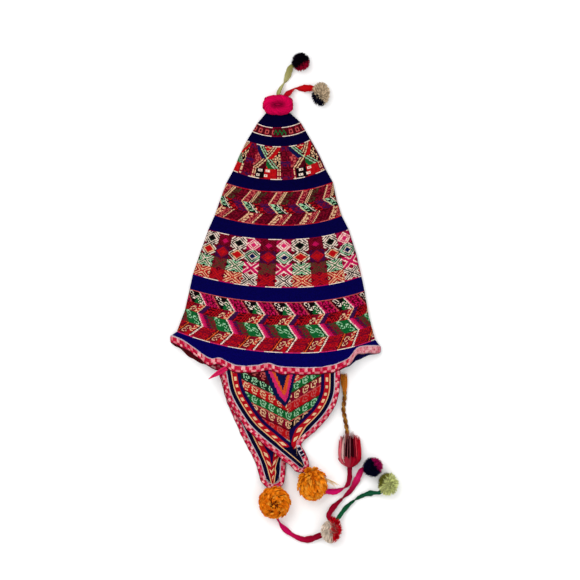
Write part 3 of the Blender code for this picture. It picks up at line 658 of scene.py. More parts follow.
def zigzag(y, turns):
    """How far a zigzag line has shifted at y. turns holds its corners as (y, shift)."""
    for (y0, x0), (y1, x1) in zip(turns, turns[1:]):
        if y <= y1:
            return x0 + (x1 - x0) * (y - y0) / (y1 - y0)
    return turns[-1][1]


def leg_at(y, turns):
    """Which leg of a zigzag is at y, from 0."""
    return sum(y >= turn[0] for turn in turns[1:-1])


def two_scrolls(across, down, falling):
    """Two scrolls side by side, the second one lower where the leg falls to the right, else higher."""
    first, second = (0, 4) if falling else (3, 0)
    line = down - (first if across < 6 else second)
    if not 0 <= line < 8 or across > 11:
        return False
    return SCROLL[line][5 - across % 6 if falling else across % 6] == "#"


def small_band(x, y, height):
    """Dark red ground with pale squares and a green zigzag in the middle, between white dashes."""
    if y < 1.0 or y > height - 1.0:
        return "k" if -7.0 < x < 3.0 else "w"
    if -5.0 < x < 7.0:
        return "g" if abs(abs((x + 1.0) % 4.0 - 2.0) * 2.2 - (y - 3.0)) < 1.3 else "d"
    cell = (abs(x) - 9.0) % 7.0
    if 1.0 < cell < 5.0 and 3.0 < y < height - 2.5:
        return "d" if 2.0 < cell < 4.0 and 4.2 < y < height - 3.6 else "s"
    return "k" if int(abs(x) / 3.5) % 2 else "d"


# The stars' panels, from left to right, and the height below which they have their squares.
STAR_REPEAT = 133.0
STAR_PANELS = ((-57.0, -37.0), (-28.3, -1.1), (9.2, 39.3), (49.0, 76.0))
STAR_WIDTH = 27.0
STAR_HEIGHT = 31.0
STAR_MIDDLE = 0.4
STAR_SLANT = 0.9
STAR_FOOT = 9.1
LOWER_SQUARES = 12.9
ARM_REACH = 4.2
# Each arm of a star, by whether it lies on the falling diagonal and below the middle: the side that
# its solid part lies on, that part's yarn, and the yarn of the stripes beside it.
STAR_ARMS = {
    (True, False): (-1, "n", "t"),
    (False, False): (1, "r", "c"),
    (True, True): (-1, "g", "t"),
    (False, True): (1, "d", "c"),
}


def star_band(x, y, height):
    """Striped crosses on black and dark red, with pale squares and hooks, between crimson panels."""
    line = edge_line(x, y, height, ("w", "k"), 10.0)
    if line:
        return line
    x = (x - STAR_PANELS[0][0]) % STAR_REPEAT + STAR_PANELS[0][0]
    for left, right in STAR_PANELS:
        if not left <= x < right:
            continue
        p = (x - (left + right) / 2) * STAR_WIDTH / (right - left)
        q = (y - height * STAR_MIDDLE) * STAR_HEIGHT / height
        if q > STAR_FOOT:
            # Below the star, two rows of pale squares between upright strokes.
            if abs(p) > 9.5:
                return "c" if int(abs(p)) % 2 and int(q) % 5 else "k"
            shift = 9.4 if q > LOWER_SQUARES else 8.0
            pale = p < 5.5 and motif(SQUARE, (p + shift) / 1.15, (q - 8.6) / 0.85)
            return "w" if pale else ("b" if p < -1.0 else "r")
        falling = (p - q * STAR_SLANT) * 0.74
        rising = (p + q * STAR_SLANT) * 0.74
        is_falling = abs(falling) < abs(rising)
        side, solid, stripe = STAR_ARMS[(is_falling, q > 0)]
        off = (falling if is_falling else rising) * side
        if abs(off) < ARM_REACH:
            if off > 0.7:
                return solid
            return stripe if -0.9 < off < 0.1 or -3.1 < off < -2.2 else "d"
        if abs(p) > abs(q) * STAR_SLANT:
            hook = abs(p) > 5.0 and motif(CURL, p / 1.1, (q + 4.0) / 1.1)
            return ("s" if p < 0 else "c") if hook else ("k" if p < 0 else "b")
        if q < 0:
            return "c" if motif(CURL, p / 1.1, q / 1.1) else "r"
        return "b" if p < 0 else "r"
    if motif(CURL, x / 1.2, y / 1.2):
        return "k"
    return "d" if int(y / 5.0) % 3 else "u"


# A zigzag's corners from its top down, as (y, shift), and for each leg between them its width and the
# three stripes at its right edge. Then two grounds beside each of the first two legs, hooks first.
UPPER_TURNS = ((0.0, 8.0), (13.0, 0.0), (23.0, 10.0), (34.0, 1.0))
UPPER_PITCH = 28.2
UPPER_START = -13.2
UPPER_WIDTHS = (10.5, 10.5, 12.5)
UPPER_STRIPES = ("dcd", "bwb", "ksd")
UPPER_GROUNDS = (("vd", "kd"), ("rd", "ku"))
OUTLINE = 1.2
STRIPES = 3.2


def upper_zigzag(x, y, height):
    """Zigzags in three legs, red, black and pink, each with pale hooks, on maroon, purple and olive."""
    line = edge_line(x, y, height, ("s", "r"), 12.0)
    if line:
        return line
    u = (x - UPPER_START - zigzag(y, UPPER_TURNS)) % UPPER_PITCH
    leg = leg_at(y, UPPER_TURNS)
    width = UPPER_WIDTHS[leg]
    if u < OUTLINE:
        return "c"
    if u < width - STRIPES:
        light = motif(CURL, (u - OUTLINE) / 1.1, (y - UPPER_TURNS[leg][0] - 1.5) / 1.15)
        if leg == 0:
            return "s" if light else "k"
        if leg == 1:
            return "t" if light else ("b" if u < 5.0 else "e")
        return ("c" if u < 6.0 else "s") if light else "k"
    if u < width:
        return UPPER_STRIPES[leg][int((u - width + STRIPES) / 1.07)]
    if u < width + OUTLINE:
        return "c" if leg != 1 or int(y / 1.6) % 2 else "b"
    v = u - width - OUTLINE
    light = motif(CURL, v / 1.15, y / 1.15)
    if leg < 2:
        hook, ground = UPPER_GROUNDS[leg][v >= 7.0]
        return hook if light else ground
    if v > 9.0:
        return "k" if int(v / 1.2) % 3 == 2 else "d"
    return "k" if light else "d"


# The same for the lowest pattern. Each leg has its light yarn, and an outline of two yarns.
LOWER_TURNS = ((0.0, 0.0), (13.0, 10.0), (22.5, 2.6), (35.5, 11.3), (51.0, 0.8))
LOWER_PITCH = 30.8
LOWER_START = 3.2
LOWER_WIDTHS = (14.7, 11.4, 15.5, 12.7)
LOWER_LIGHT = "wctc"
LOWER_OUTLINES = ("wcww", "bred")


def lower_zigzag(x, y, height):
    """Zigzags in four legs, green and red by turns with pale hooks, on maroon, red and olive ones."""
    line = edge_line(x, y, height, ("s", "s") if y < 5 else ("w", "p"), 17.0)
    if line:
        return line
    u = (LOWER_START + zigzag(y, LOWER_TURNS) - x) % LOWER_PITCH
    leg = leg_at(y, LOWER_TURNS)
    width = LOWER_WIDTHS[leg]
    if u < 1.4:
        return LOWER_OUTLINES[0][leg]
    if u < 2.6:
        return LOWER_OUTLINES[1][leg]
    if u < width:
        across = int(width - u)
        down = y - LOWER_TURNS[leg][0]
        if two_scrolls(across, int(down - 0.7), leg % 2 == 0):
            return LOWER_LIGHT[leg]
        if leg % 2:
            return "k" if across < 6 else "r"
        return "b" if leg == 0 and across + down < 14.0 else "g"
    v = u - width
    light = motif(CURL, v / 1.2, y / 1.2)
    if leg == 0:
        if v < 2.6:
            return "d" if v < 1.4 else "s"
        return "p" if v > 14.6 else ("m" if light else "d")
    if leg == 1:
        return "u" if v > 14.5 else ("r" if (light if v > 7.0 else int(v / 1.2) % 2) else "d")
    if leg == 2:
        if v > 10.5:
            return "p" if v > 12.8 else "m"
        return ("k" if light else "v") if v < 6.5 else ("k" if light else "u")
    if v < 4.0:
        return "o" if int(v / 1.3) % 2 else "d"
    return "r" if light else "k"


DIAMOND_COLUMNS = (
    # where a column starts, and its kind
    (-85.0, "Q"),
    (-68.7, "D"),
    (-54.5, "Q"),
    (-38.0, "P"),
    (-22.7, "D"),
    (-5.6, "P"),
    (9.8, "Q"),
    (28.0, "D"),
    (44.0, "Q"),
    (60.5, "P"),
    (77.0, "D"),
)
DIAMOND_REPEAT = 178.0
DIAMOND_TOP = 1.0
DIAMOND_HEIGHT = 11.6
# For each kind of column, its figures from the top, each with its yarns from the middle outwards.
FIGURES = {
    "P": (("diamond", "ppwpwmkmk"), ("diamond", "nnwbtbwbk"), ("cross", "mpwmkm"), ("cross", "bwbwkr")),
    "Q": (("diamond", "bbewbwbwk"), ("diamond", "rrrcbwbkd"), ("cross", "gwgteb"), ("cross", "rcrkcd")),
    "D": (("diamond", "mmdkdkdkd"), ("diamond", "rrkrkudud"), ("cross", "vkvkdk"), ("cross", "rkrkdr")),
}
DIAMOND_RINGS = (0.26, 0.48, 0.66, 0.86, 1.06, 1.26, 1.48, 1.72)
CROSS_RINGS = (0.13, 0.3, 0.48, 0.66, 0.84)


def diamond_band(x, y, height):
    """Columns of diamonds and crosses, outlined in white on bright columns and dark on the others."""
    line = edge_line(x, y, height, ("w", "k" if y < 5 else "m"), 14.8)
    if line:
        return line
    first = DIAMOND_COLUMNS[0][0]
    x = (x - first) % DIAMOND_REPEAT + first
    last = (first + DIAMOND_REPEAT, "")
    for (start, kind), (end, _) in zip(DIAMOND_COLUMNS, DIAMOND_COLUMNS[1:] + (last,)):
        if x < end:
            break
    across = abs(x - (start + end) / 2) / ((end - start) / 2)
    index = min(3, int((y - DIAMOND_TOP) / DIAMOND_HEIGHT))
    down = abs((y - DIAMOND_TOP) / DIAMOND_HEIGHT - index - 0.5) * 2.0
    figure, yarns = FIGURES[kind][index]
    if figure == "diamond":
        return yarns[sum(across + down > ring for ring in DIAMOND_RINGS)]
    return yarns[sum(abs(across - down) > ring for ring in CROSS_RINGS)]


def plain_blue(step):
    """The blue of the plain bands, brighter towards the rim."""
    share = step / RIM_STEP
    return screen_colour([a + (b - a) * share for a, b in zip(BLUE_AT_APEX, BLUE_AT_RIM)])


# The knitted bands from the apex down: where each starts and ends in the table of rows, and its pattern.
BANDS = (
    (0.0, 1.0, None),
    (1.0, 1.5, small_band),
    (1.5, 2.0, None),
    (2.0, 4.0, star_band),
    (4.0, 5.0, None),
    (5.0, 7.0, upper_zigzag),
    (7.0, 8.0, None),
    (8.0, 10.0, diamond_band),
    (10.0, 11.0, None),
    (11.0, 13.0, lower_zigzag),
    (13.0, 14.0, None),
)
chance = np.random.default_rng(7)
grids = []
bands = []
for start, end, pattern in BANDS:
    middle = crown_ring((start + end) / 2)
    around = np.linalg.norm(np.diff(middle, axis=0), axis=1)
    top = crown_place(start, 0.0, False)
    foot = crown_place(end, 0.0, False)
    stitches = round(around.sum() / STITCH_WIDTH)
    rows = round((top[1] - foot[1]) / STITCH_HEIGHT)
    left_of_middle = around[: NEAR_SIDES // 2].sum() / around.sum() * stitches
    grids.append((stitches, rows))
    bands.append((start, end, pattern, stitches, rows, left_of_middle, around.sum() / stitches))

# Inside the wall lies a plain lining, which ends at the rim. A cap closes the wall's apex.
LINING_SIDES = 120
LINING_ROWS = 28
LINING_START = 0.3
LINING_BLUE = screen_colour((10, 4, 50))
grids += [(LINING_SIDES, LINING_ROWS + 1), (LINING_SIDES, 1)]
crown_mesh, places = blank_cloth("crown_knitting", grids)
points = []
weave = []
colours = []
done = 0
for start, end, pattern, stitches, rows, left_of_middle, stitch in bands:
    count = (stitches + 1) * (rows + 1)
    column, row = grid_steps(places[done : done + count], stitches, rows)
    row = rows - row
    done += count
    steps = [start + (end - start) * k / rows for k in range(rows + 1)]
    table = np.array([spaced(crown_ring(step), stitches) for step in steps])
    points.append(table[row, column])
    weave.append(np.stack([column, row], axis=1).astype(float))
    height = rows * STITCH_HEIGHT / PIXEL
    chart = np.empty((rows, stitches, 3))
    for j in range(rows):
        if pattern is None:
            chart[j] = plain_blue(steps[j])
            continue
        y = (j + 0.5) * STITCH_HEIGHT / PIXEL
        for i in range(stitches):
            x = (i + 0.5 - left_of_middle) * stitch / PIXEL
            chart[j, i] = DYED[pattern(x, y, height)]
    chart *= chance.uniform(0.7, 1.18, (rows, stitches, 1))
    # The grid's faces run from its foot up, row by row.
    colours.append(chart[::-1].reshape(-1, 3))

lining = [
    spaced(crown_ring(LINING_START + (RIM_STEP - LINING_START) * k / LINING_ROWS, WALL), LINING_SIDES)
    for k in range(LINING_ROWS + 1)
]
lining = np.array(lining + [spaced(crown_ring(RIM_STEP), LINING_SIDES)])
count = (LINING_SIDES + 1) * (LINING_ROWS + 2)
column, row = grid_steps(places[done : done + count], LINING_SIDES, LINING_ROWS + 1)
points.append(lining[row, column])
weave.append(np.stack([column * 2.0, row * 3.0], axis=1))
column, row = grid_steps(places[done + count :], LINING_SIDES, 1)
apex_ring = spaced(crown_ring(0.0), LINING_SIDES)
cap = np.stack([apex_ring, np.tile(apex_ring[:-1].mean(axis=0), (LINING_SIDES + 1, 1))])
points.append(cap[row, column])
weave.append(np.stack([column * 1.0, row * 4.0], axis=1))
colours.append(LINING_BLUE * chance.uniform(0.7, 1.2, (LINING_SIDES * (LINING_ROWS + 2), 1)))
# The near wall lies in soft dents.
points = np.concatenate(points)
for k, (x, y, z) in enumerate(points):
    if z > DENT_FROM:
        points[k, 2] += DENT * noise.noise(Vector((x / 45.0, y / 45.0, z / 30.0)))
knit = wool_finish("crown_wool", stitches_relief, ply=(4.0, 4.0), strength=0.6, distance=0.3, shade=0.3)
lay_cloth(crown_mesh, points, np.concatenate(weave), np.concatenate(colours))
show("crown_knitting", crown_mesh, knit, "crown")


# Edgings: puffy woven bands of crimson wool with two staggered rows of pale blocks. One is sewn all
# round the mouth and lies in ruffles, and one goes down both edges of each ear flap and round its tail.
EDGING_WIDTH = 10.5
EDGING_THICKNESS = 5.0
EDGING_SIDES = 22
EDGING_STEP = 1.3
EDGING_LAP = 1.0
BLOCK_PITCH = 10.4
BLOCK_LENGTH = 4.4
BLOCK_ROWS_MEET = 0.52
PALE, CRIMSON, ROSE, DARK_EDGE, PALE_EDGE = screen_colour(
    ((240, 176, 176), (186, 18, 52), (206, 50, 90), (110, 8, 30), (196, 176, 184))
)
PALE_WOOL = screen_colour((222, 168, 174))
PALE_FROM = 96.0
FAR_RIM_ENDS = screen_colour(((84, 16, 22), (20, 14, 70)))
FAR_RIM_FROM = 88.0


def puffy_profile(sides):
    """A band's section: its way out from 0 to 1 and up from -1 to 1, as a flattened oval."""
    angles = np.linspace(0.0, 2 * np.pi, sides + 1)
    out = 0.5 - 0.5 * np.sign(np.cos(angles)) * np.abs(np.cos(angles)) ** 0.75
    up = np.sign(np.sin(angles)) * np.abs(np.sin(angles)) ** 0.8
    return out, up


def block_colours(travel, profile, chance):
    """The colours of a band's faces: pale blocks in two rows, staggered and uneven, in crimson."""
    out = profile[0]
    colours = np.empty((len(travel), len(out) - 1, 3))
    count = int(travel[-1] / BLOCK_PITCH) + 3
    paleness = chance.uniform(0.25, 1.0, (count, 2))
    shift = chance.uniform(-1.5, 1.5, (count, 2))
    lengths = chance.uniform(0.6, 1.3, (count, 2)) * BLOCK_LENGTH
    for j, s in enumerate(travel):
        for i, share in enumerate((out[1:] + out[:-1]) / 2):
            row = 0 if share < BLOCK_ROWS_MEET else 1
            place = s + row * BLOCK_PITCH / 2
            k = int(place / BLOCK_PITCH)
            place = place % BLOCK_PITCH + shift[k, row]
            ground = CRIMSON if int(s / 5.2 + row) % 2 else ROSE
            if share < 0.1:
                colour = PALE_EDGE
            elif share > 0.9:
                colour = DARK_EDGE
            elif 1.5 < place < 1.5 + lengths[k, row]:
                colour = ground + (PALE - ground) * paleness[k, row]
            else:
                colour = ground if abs(share - 0.5) > 0.08 else CRIMSON
            colours[j, i] = colour * chance.uniform(0.7, 1.2)
    return colours.reshape(-1, 3)


edging_wool = wool_finish("edging_wool", ridges(0.8, 0.7), ply=(2.5, 2.5),
                          strength=0.7, distance=0.45, shade=0.4)
chance = np.random.default_rng(11)
rim_ring = crown_ring(RIM_STEP)
ring_length = travelled(rim_ring)[-1]
rim_steps = round(ring_length / EDGING_STEP)
outer = spaced(rim_ring, rim_steps)
inner = spaced(rim_ring, rim_steps, crown_ring(RIM_STEP, WALL))
outward = unit(outer - inner)
profile = puffy_profile(EDGING_SIDES)
rings = np.empty((rim_steps + 1, EDGING_SIDES + 1, 3))
for k in range(rim_steps + 1):
    s = (k % rim_steps) * EDGING_STEP
    ruffle = noise.noise(Vector((s / 13.0, 2.0, 0.0)))
    wave = noise.noise(Vector((s / 9.0, 7.0, 0.0)))
    puff = 1.0 + 0.10 * math.sin(s / BLOCK_PITCH * 4 * math.pi)
    width = EDGING_WIDTH * (0.92 + 0.22 * ruffle)
    middle = (outer[k] + inner[k]) / 2 + outward[k] * (0.3 + 0.9 * wave)
    for i, (out, up) in enumerate(zip(*profile)):
        place = middle + outward[k] * up * EDGING_THICKNESS / 2 * puff
        rings[k, i] = place + np.array((0.0, EDGING_LAP - out * (width + EDGING_LAP), 0.0))
rings[-1] = rings[0]
rings[:, :, 2] = np.maximum(rings[:, :, 2], CLEARANCE)
colours = block_colours((np.arange(rim_steps) + 0.5) * ring_length / rim_steps, profile, chance)
colours = colours.reshape(rim_steps, EDGING_SIDES, 3)
# The near rim is paler at its right end. The far rim shows its dark side where it peeks out at both
# ends: brown on the left, navy on the right.
for k, (x, _, z) in enumerate(outer[1:]):
    if z > RIM_FOLD and x > PALE_FROM:
        colours[k] += (PALE_WOOL - colours[k]) * chance.uniform(0.1, 0.75, (EDGING_SIDES, 1))
    if z < RIM_FOLD and abs(x) > FAR_RIM_FROM:
        colours[k] = FAR_RIM_ENDS[int(x > 0)] * chance.uniform(0.8, 1.2)
mesh, places = blank_cloth("rim_edging_band", [(EDGING_SIDES, rim_steps)])
column, row = grid_steps(places, EDGING_SIDES, rim_steps)
weave = np.stack([column * 1.1, row * EDGING_STEP], axis=1)
lay_cloth(mesh, rings[row, column], weave, colours.reshape(-1, 3), closed=True)
show("rim_edging_band", mesh, edging_wool, "rim_edging")


# Ear flaps: two thick knitted triangles that hang from the rim, the near one over the far one. Each
# has stripes along its edges, hooked grounds inside them, and its own band that ends in a tail at a pompom.
FLAP_WALL = 2.6
FLAP_BAND_WIDTH = 7.0
FLAP_BAND_THICKNESS = 4.0
FLAP_BAND_SIDES = 16
FLAP_ROW = 1.35
FLAP_INNER_COLUMNS = 36
FLAP_LIFT = 3.0
HEM_DROP = 11.4
# The hat's origin as a pixel of the photograph's frame, and pixels on the rim that the grounds slant from.
FRAME_CENTRE = (274.5, 307.0)
FRAME_RIM = 366.0
FRAME_LEFT = 235.0
FRAME_RIGHT = 335.0
NEAR_FLAP_ROWS = (
    # left x, left y, right x, right y
    (-69.5, -81.0, 85.0, -81.0),
    (-63.5, -111.0, 83.5, -113.0),
    (-51.5, -135.5, 73.0, -138.0),
    (-36.0, -158.0, 55.0, -159.0),
    (-17.0, -176.0, 36.5, -175.5),
    (-2.5, -187.5, 36.0, -182.0),
    (8.0, -196.0, 40.0, -189.0),
    (17.5, -203.5, 43.0, -196.0),
    (25.5, -210.0, 44.5, -201.0),
)
FAR_FLAP_ROWS = (
    (-72.0, -85.0, 76.0, -88.0),
    (-65.0, -113.0, 66.0, -114.0),
    (-57.0, -135.0, 51.0, -136.0),
    (-46.5, -158.5, 36.0, -159.0),
    (-36.0, -180.5, 23.0, -181.0),
    (-26.5, -198.0, 15.5, -198.0),
    (-22.0, -211.0, 14.5, -211.0),
    (-18.5, -222.0, 13.5, -221.0),
)
NEAR_CREASE = (
    (9.8, -78.0), (17.5, -127.4), (19.5, -169.0), (24.0, -183.3), (34.0, -199.5), (38.0, -208.5),
)
FAR_CREASE = ((4.0, -80.0), (2.0, -130.0), (-1.0, -180.0), (-3.0, -212.0), (-2.0, -231.0))
# Where each flap rises on its way down, over what length and by how much: at both tails, and where the
# near flap's left half laps over its right half.
NEAR_TAIL_RISE = (-180.0, 32.0, 7.5)
FAR_TAIL_RISE = (-203.0, 32.0, 10.0)
LAP_RISE = (-150.0, 28.0, 3.0)
UNDER_RIM = 5.0
NEAR_FALL = 78.0
NEAR_LEVEL = 4.8
# Where each tail is sewn to its pompom, and its way back to the flap.
NEAR_TAIL = ((42.2, -212.1), (-0.45, 0.893))
FAR_TAIL = ((-1.7, -235.9), (-0.1, 0.995))
FLAP_STRIPES = (
    # kind, width, columns
    ("pale", 1.6, 1),
    ("navy", 4.8, 3),
    ("cream", 1.3, 1),
    ("blocks", 6.5, 4),
    ("violet", 4.4, 3),
)
STRIPE_DYES = {
    "pale": (196, 184, 190),
    "navy": (8, 8, 40),
    "cream": (216, 172, 122),
    "blocks": (170, 14, 26),
    "block": (226, 184, 142),
    "violet": (20, 10, 64),
}
STRIPE_COLOURS = {key: screen_colour(dye) for key, dye in STRIPE_DYES.items()}
# Below this height the near flap is narrow, and its inner stripes are navy.
NEAR_NARROW = -181.0
# Between these heights the near flap's band is twisted over on the right.
NEAR_TWIST = (-191.0, -178.0)
# The V below the middle of the near rim, as pixels of the photograph's frame, from outside inwards.
NEAR_V = (
    (((262.5, 366.0), (276.0, 398.0), (285.0, 406.5), (289.5, 400.0), (297.5, 366.0)), "n"),
    (((266.5, 366.0), (279.2, 395.0), (285.3, 401.5), (287.8, 396.0), (294.2, 366.0)), "p"),
    (((270.0, 366.0), (281.6, 391.8), (284.6, 395.0), (286.6, 390.5), (291.4, 366.0)), "o"),
    (((272.6, 366.0), (283.0, 389.5), (289.4, 366.0)), "n"),
)
CHECK_PITCH = 10.4
CHECK_LENGTH = 4.6
# Half the width of the navy stripe at the far flap's tip, and how much it gains for each mm above that.
FAR_STRIPE = 6.5
FAR_WIDENING = 0.02
# The slanting grounds from the rim down: each ground's yarn and that of its hooks.
FLAP_GROUNDS = ("et", "rc", "gt", "kc", "rs", "gt", "bc", "ds")
FLAP_BLOCK = 9.2
GROUND_LINE = 1.1
HOOK_PITCH = 7
HOOK_SIZE = (1.2, 1.15)
END_STEPS = 12


def rise(y, start, length, height):
    """How much a flap has risen at y, on a smooth slope."""
    amount = min(1.0, max(0.0, (start - y) / length))
    return height * amount * amount * (3.0 - 2.0 * amount)


def near_flap_under(x, y, lap):
    """The height of the near flap's underside: from the near rim down onto the far flap.

    lap is 1 on its left half, which laps over the right half from the middle down.
    """
    place = 2.0 * (x - NEAR_RIM[0][0]) / (NEAR_RIM[-1][0] - NEAR_RIM[0][0]) - 1.0
    dome = max(0.0, 1.0 - place**2) ** DOME_ROUND
    top = RIM_FOLD + (RIM_HEIGHT - RIM_FOLD) * dome + curve_value(NEAR_RIM, x, 2) - UNDER_RIM
    fall = rise(y, curve_value(NEAR_RIM, x, 1) - HEM_DROP, NEAR_FALL, NEAR_LEVEL - top)
    return top + fall + rise(y, *NEAR_TAIL_RISE) + rise(y, *LAP_RISE) * lap


def far_flap_under(x, y, lap):
    """The same for the far flap, which lies on the surface up to its raised tail."""
    return rise(y, *FAR_TAIL_RISE)


def inside(corners, x, y):
    """Whether a point lies in a shape, given by its corners."""
    found = False
    for (x0, y0), (x1, y1) in zip(corners, corners[1:] + corners[:1]):
        if (y0 > y) != (y1 > y) and x < x0 + (x1 - x0) * (y - y0) / (y1 - y0):
            found = not found
    return found


def in_frame(x, y):
    """A place on the hat as a pixel of the photograph's frame."""
    return FRAME_CENTRE[0] + x / PIXEL, FRAME_CENTRE[1] - y / PIXEL


def hooked_ground(x, y, on_left):
    """Slanting grounds of red, black and green by turns, each with pale hooks."""
    across, down = in_frame(x, y)
    slant = down - FRAME_RIM + ((FRAME_LEFT - across) * 0.5 if on_left else (across - FRAME_RIGHT) * 0.6)
    block = int(slant // FLAP_BLOCK)
    ground, light = FLAP_GROUNDS[(block + (0 if on_left else 3)) % len(FLAP_GROUNDS)]
    below = slant % FLAP_BLOCK - GROUND_LINE
    if below < 0.0:
        return "s" if block % 2 else "d"
    column = across / HOOK_SIZE[0] % HOOK_PITCH
    return light if column < 5 and motif(CURL, column, below / HOOK_SIZE[1]) else ground


def near_pattern(x, y, on_left):
    """Hooked grounds, with a striped V below the middle of the rim."""
    for corners, key in reversed(NEAR_V):
        if inside(corners, *in_frame(x, y)):
            return key
    return hooked_ground(x, y, on_left)


def far_pattern(x, y, on_left):
    """Hooked grounds, with a navy stripe along the crease that is wider towards the rim."""
    (top_x, top_y), (tip_x, tip_y) = FAR_CREASE[0], FAR_CREASE[-1]
    if abs(x - np.interp(y, [tip_y, top_y], [tip_x, top_x])) < FAR_STRIPE + (y - tip_y) * FAR_WIDENING:
        return "n"
    return hooked_ground(x, y, on_left)


def flap_edges(rows):
    """The outer edges of a flap, left and right, as points at even distances from the rim down."""
    left = along_curve([(row[0], row[1]) for row in rows], FLAP_ROW)
    right = along_curve([(row[2], row[3]) for row in rows], FLAP_ROW)
    return left, right


def into_flap(edge, turn):
    """The directions from an edge into the flap, square to it. turn is 1 on the left edge, -1 right."""
    along = unit(np.gradient(edge, axis=0))
    return np.stack([-along[:, 1] * turn, along[:, 0] * turn], axis=1)


def knit_flap(name, rows, crease, under, pattern, chance):
    """Both halves of a flap's panel, as one cloth. Its columns follow the edges, then the crease."""
    crease_line = along_curve(crease, 0.5)
    widths = [width / columns for _, width, columns in FLAP_STRIPES for _ in range(columns)]
    kinds = [kind for kind, _, columns in FLAP_STRIPES for _ in range(columns)]
    blocks = kinds.index("blocks")
    reach = np.concatenate([[0.0], np.cumsum(widths)])
    total = len(kinds) + FLAP_INNER_COLUMNS
    halves = []
    for edge, turn in zip(flap_edges(rows), (1, -1)):
        start = edge + into_flap(edge, turn) * (FLAP_BAND_WIDTH - 1.0)
        shares = np.linspace(0.0, 1.0, len(edge))
        target = np.interp(shares, [0.0, 0.4, 0.75, 1.0], [0.0, 0.36, 0.8, 1.0]) * (len(crease_line) - 1)
        stop = at_places(target, np.arange(len(crease_line)), crease_line)
        halves.append((start, stop, turn))
    grids = [(total, len(start) - 1) for start, _, _ in halves]
    mesh, places = blank_cloth(name, grids)
    points = []
    weave = []
    colours = []
    done = 0
    for (start, stop, turn), (across, along) in zip(halves, grids):
        way = stop - start
        room = np.linalg.norm(way, axis=1)
        way /= room[:, None]
        square = np.abs((way * into_flap(start, turn)).sum(axis=1)).clip(0.55, 1.0)
        grid = np.empty((along + 1, across + 1, 3))
        for j in range(along + 1):
            edge_reach = np.minimum(reach / square[j], room[j])
            inner = np.linspace(0, 1, FLAP_INNER_COLUMNS + 1)[1:] * (room[j] - edge_reach[-1])
            distance = np.concatenate([edge_reach, edge_reach[-1] + inner])
            grid[j, :, :2] = start[j] + way[j] * distance[:, None]
            for i in range(across + 1):
                x, y = grid[j, i, :2]
                to_fold = max(0.0, room[j] - distance[i])
                lap = min(1.0, to_fold / 2.0) ** 0.5 if turn > 0 else 0.0
                soft = 0.5 * noise.noise(Vector((x / 14.0, y / 14.0, 3.0)))
                grid[j, i, 2] = under(x, y, lap) + FLAP_LIFT + soft
        count = (across + 1) * (along + 1)
        column, row = grid_steps(places[done : done + count], across, along)
        done += count
        points.append(grid[row, column])
        weave.append(np.stack([column, row], axis=1).astype(float))
        chart = np.empty((along, across, 3))
        for j in range(along):
            for i in range(across):
                if i >= len(kinds):
                    x, y = grid[j : j + 2, i : i + 2, :2].mean(axis=(0, 1))
                    chart[j, i] = DYED[pattern(x, y, turn > 0)]
                    continue
                key = kinds[i]
                if name.startswith("near") and grid[j, i, 1] < NEAR_NARROW and i >= blocks:
                    key = "navy"
                elif j * FLAP_ROW % CHECK_PITCH < CHECK_LENGTH and 0 < i - blocks < 3:
                    key = "block"
                chart[j, i] = STRIPE_COLOURS[key]
        chart *= chance.uniform(0.82, 1.12, (along, across, 1))
        colours.append(chart.reshape(-1, 3))
    parts = [np.concatenate(part) for part in (points, weave, colours)]
    lay_cloth(mesh, *parts, wall=FLAP_WALL)
    return mesh


def band_round(name, rows, tail, under, chance):
    """The band along both edges of a flap and round the end of its tail, which reaches the pompom."""
    left, right = flap_edges(rows)
    middle = (left[-1] + right[-1]) / 2
    half = np.linalg.norm(left[-1] - right[-1]) / 2
    side = (left[-1] - right[-1]) / (2 * half)
    seat, way = np.array(tail[0]), np.array(tail[1])
    reach = (middle - seat) @ way
    route = [(p, d, 1.0) for p, d in zip(left, into_flap(left, 1))]
    for k in range(1, END_STEPS):
        turn = math.pi * k / END_STEPS
        point = middle + side * half * math.cos(turn) - way * reach * math.sin(turn)
        route.append((point, unit(middle - point), 1.0 - k / END_STEPS))
    route += [(p, d, 0.0) for p, d in zip(right, into_flap(right, -1))][::-1]
    profile = puffy_profile(FLAP_BAND_SIDES)
    travel = travelled(np.array([point for point, _, _ in route]))
    rings = np.empty((len(route), FLAP_BAND_SIDES + 1, 3))
    for k, (point, into, lap) in enumerate(route):
        ruffle = noise.noise(Vector((travel[k] / 9.0, 5.0, 0.0)))
        wave = noise.noise(Vector((travel[k] / 7.0, 9.0, 0.0)))
        puff = 1.0 + 0.12 * math.sin(travel[k] / BLOCK_PITCH * 4 * math.pi)
        width = FLAP_BAND_WIDTH * (1.02 + 0.16 * ruffle)
        for i, (out, up) in enumerate(zip(*profile)):
            place = point + into * (FLAP_BAND_WIDTH - out * width + 0.4 * wave)
            lift = FLAP_BAND_THICKNESS / 2 * (1.0 + up * puff) + 0.4 * wave
            rings[k, i] = (*place, max(under(*place, lap) + lift, CLEARANCE))
    mesh, places = blank_cloth(name, [(FLAP_BAND_SIDES, len(route) - 1)])
    column, row = grid_steps(places, FLAP_BAND_SIDES, len(route) - 1)
    weave = np.stack([column * 1.0, travel[row]], axis=1)
    colours = block_colours((travel[1:] + travel[:-1]) / 2, profile, chance)
    if name.startswith("near"):
        # Right of the crossing the band is twisted over, and shows its dark and pale back.
        rows_of_faces = colours.reshape(len(route) - 1, FLAP_BAND_SIDES, 3)
        third = FLAP_BAND_SIDES // 3
        for k, (point, _, lap) in enumerate(route[1:]):
            if lap == 0.0 and NEAR_TWIST[0] < point[1] < NEAR_TWIST[1]:
                back = STRIPE_COLOURS["pale" if k % 4 == 0 else "navy"]
                rows_of_faces[k, :third] = back
                rows_of_faces[k, -third - 1 :] = back
    lay_cloth(mesh, rings[row, column], weave, colours, closed=True)
    return mesh


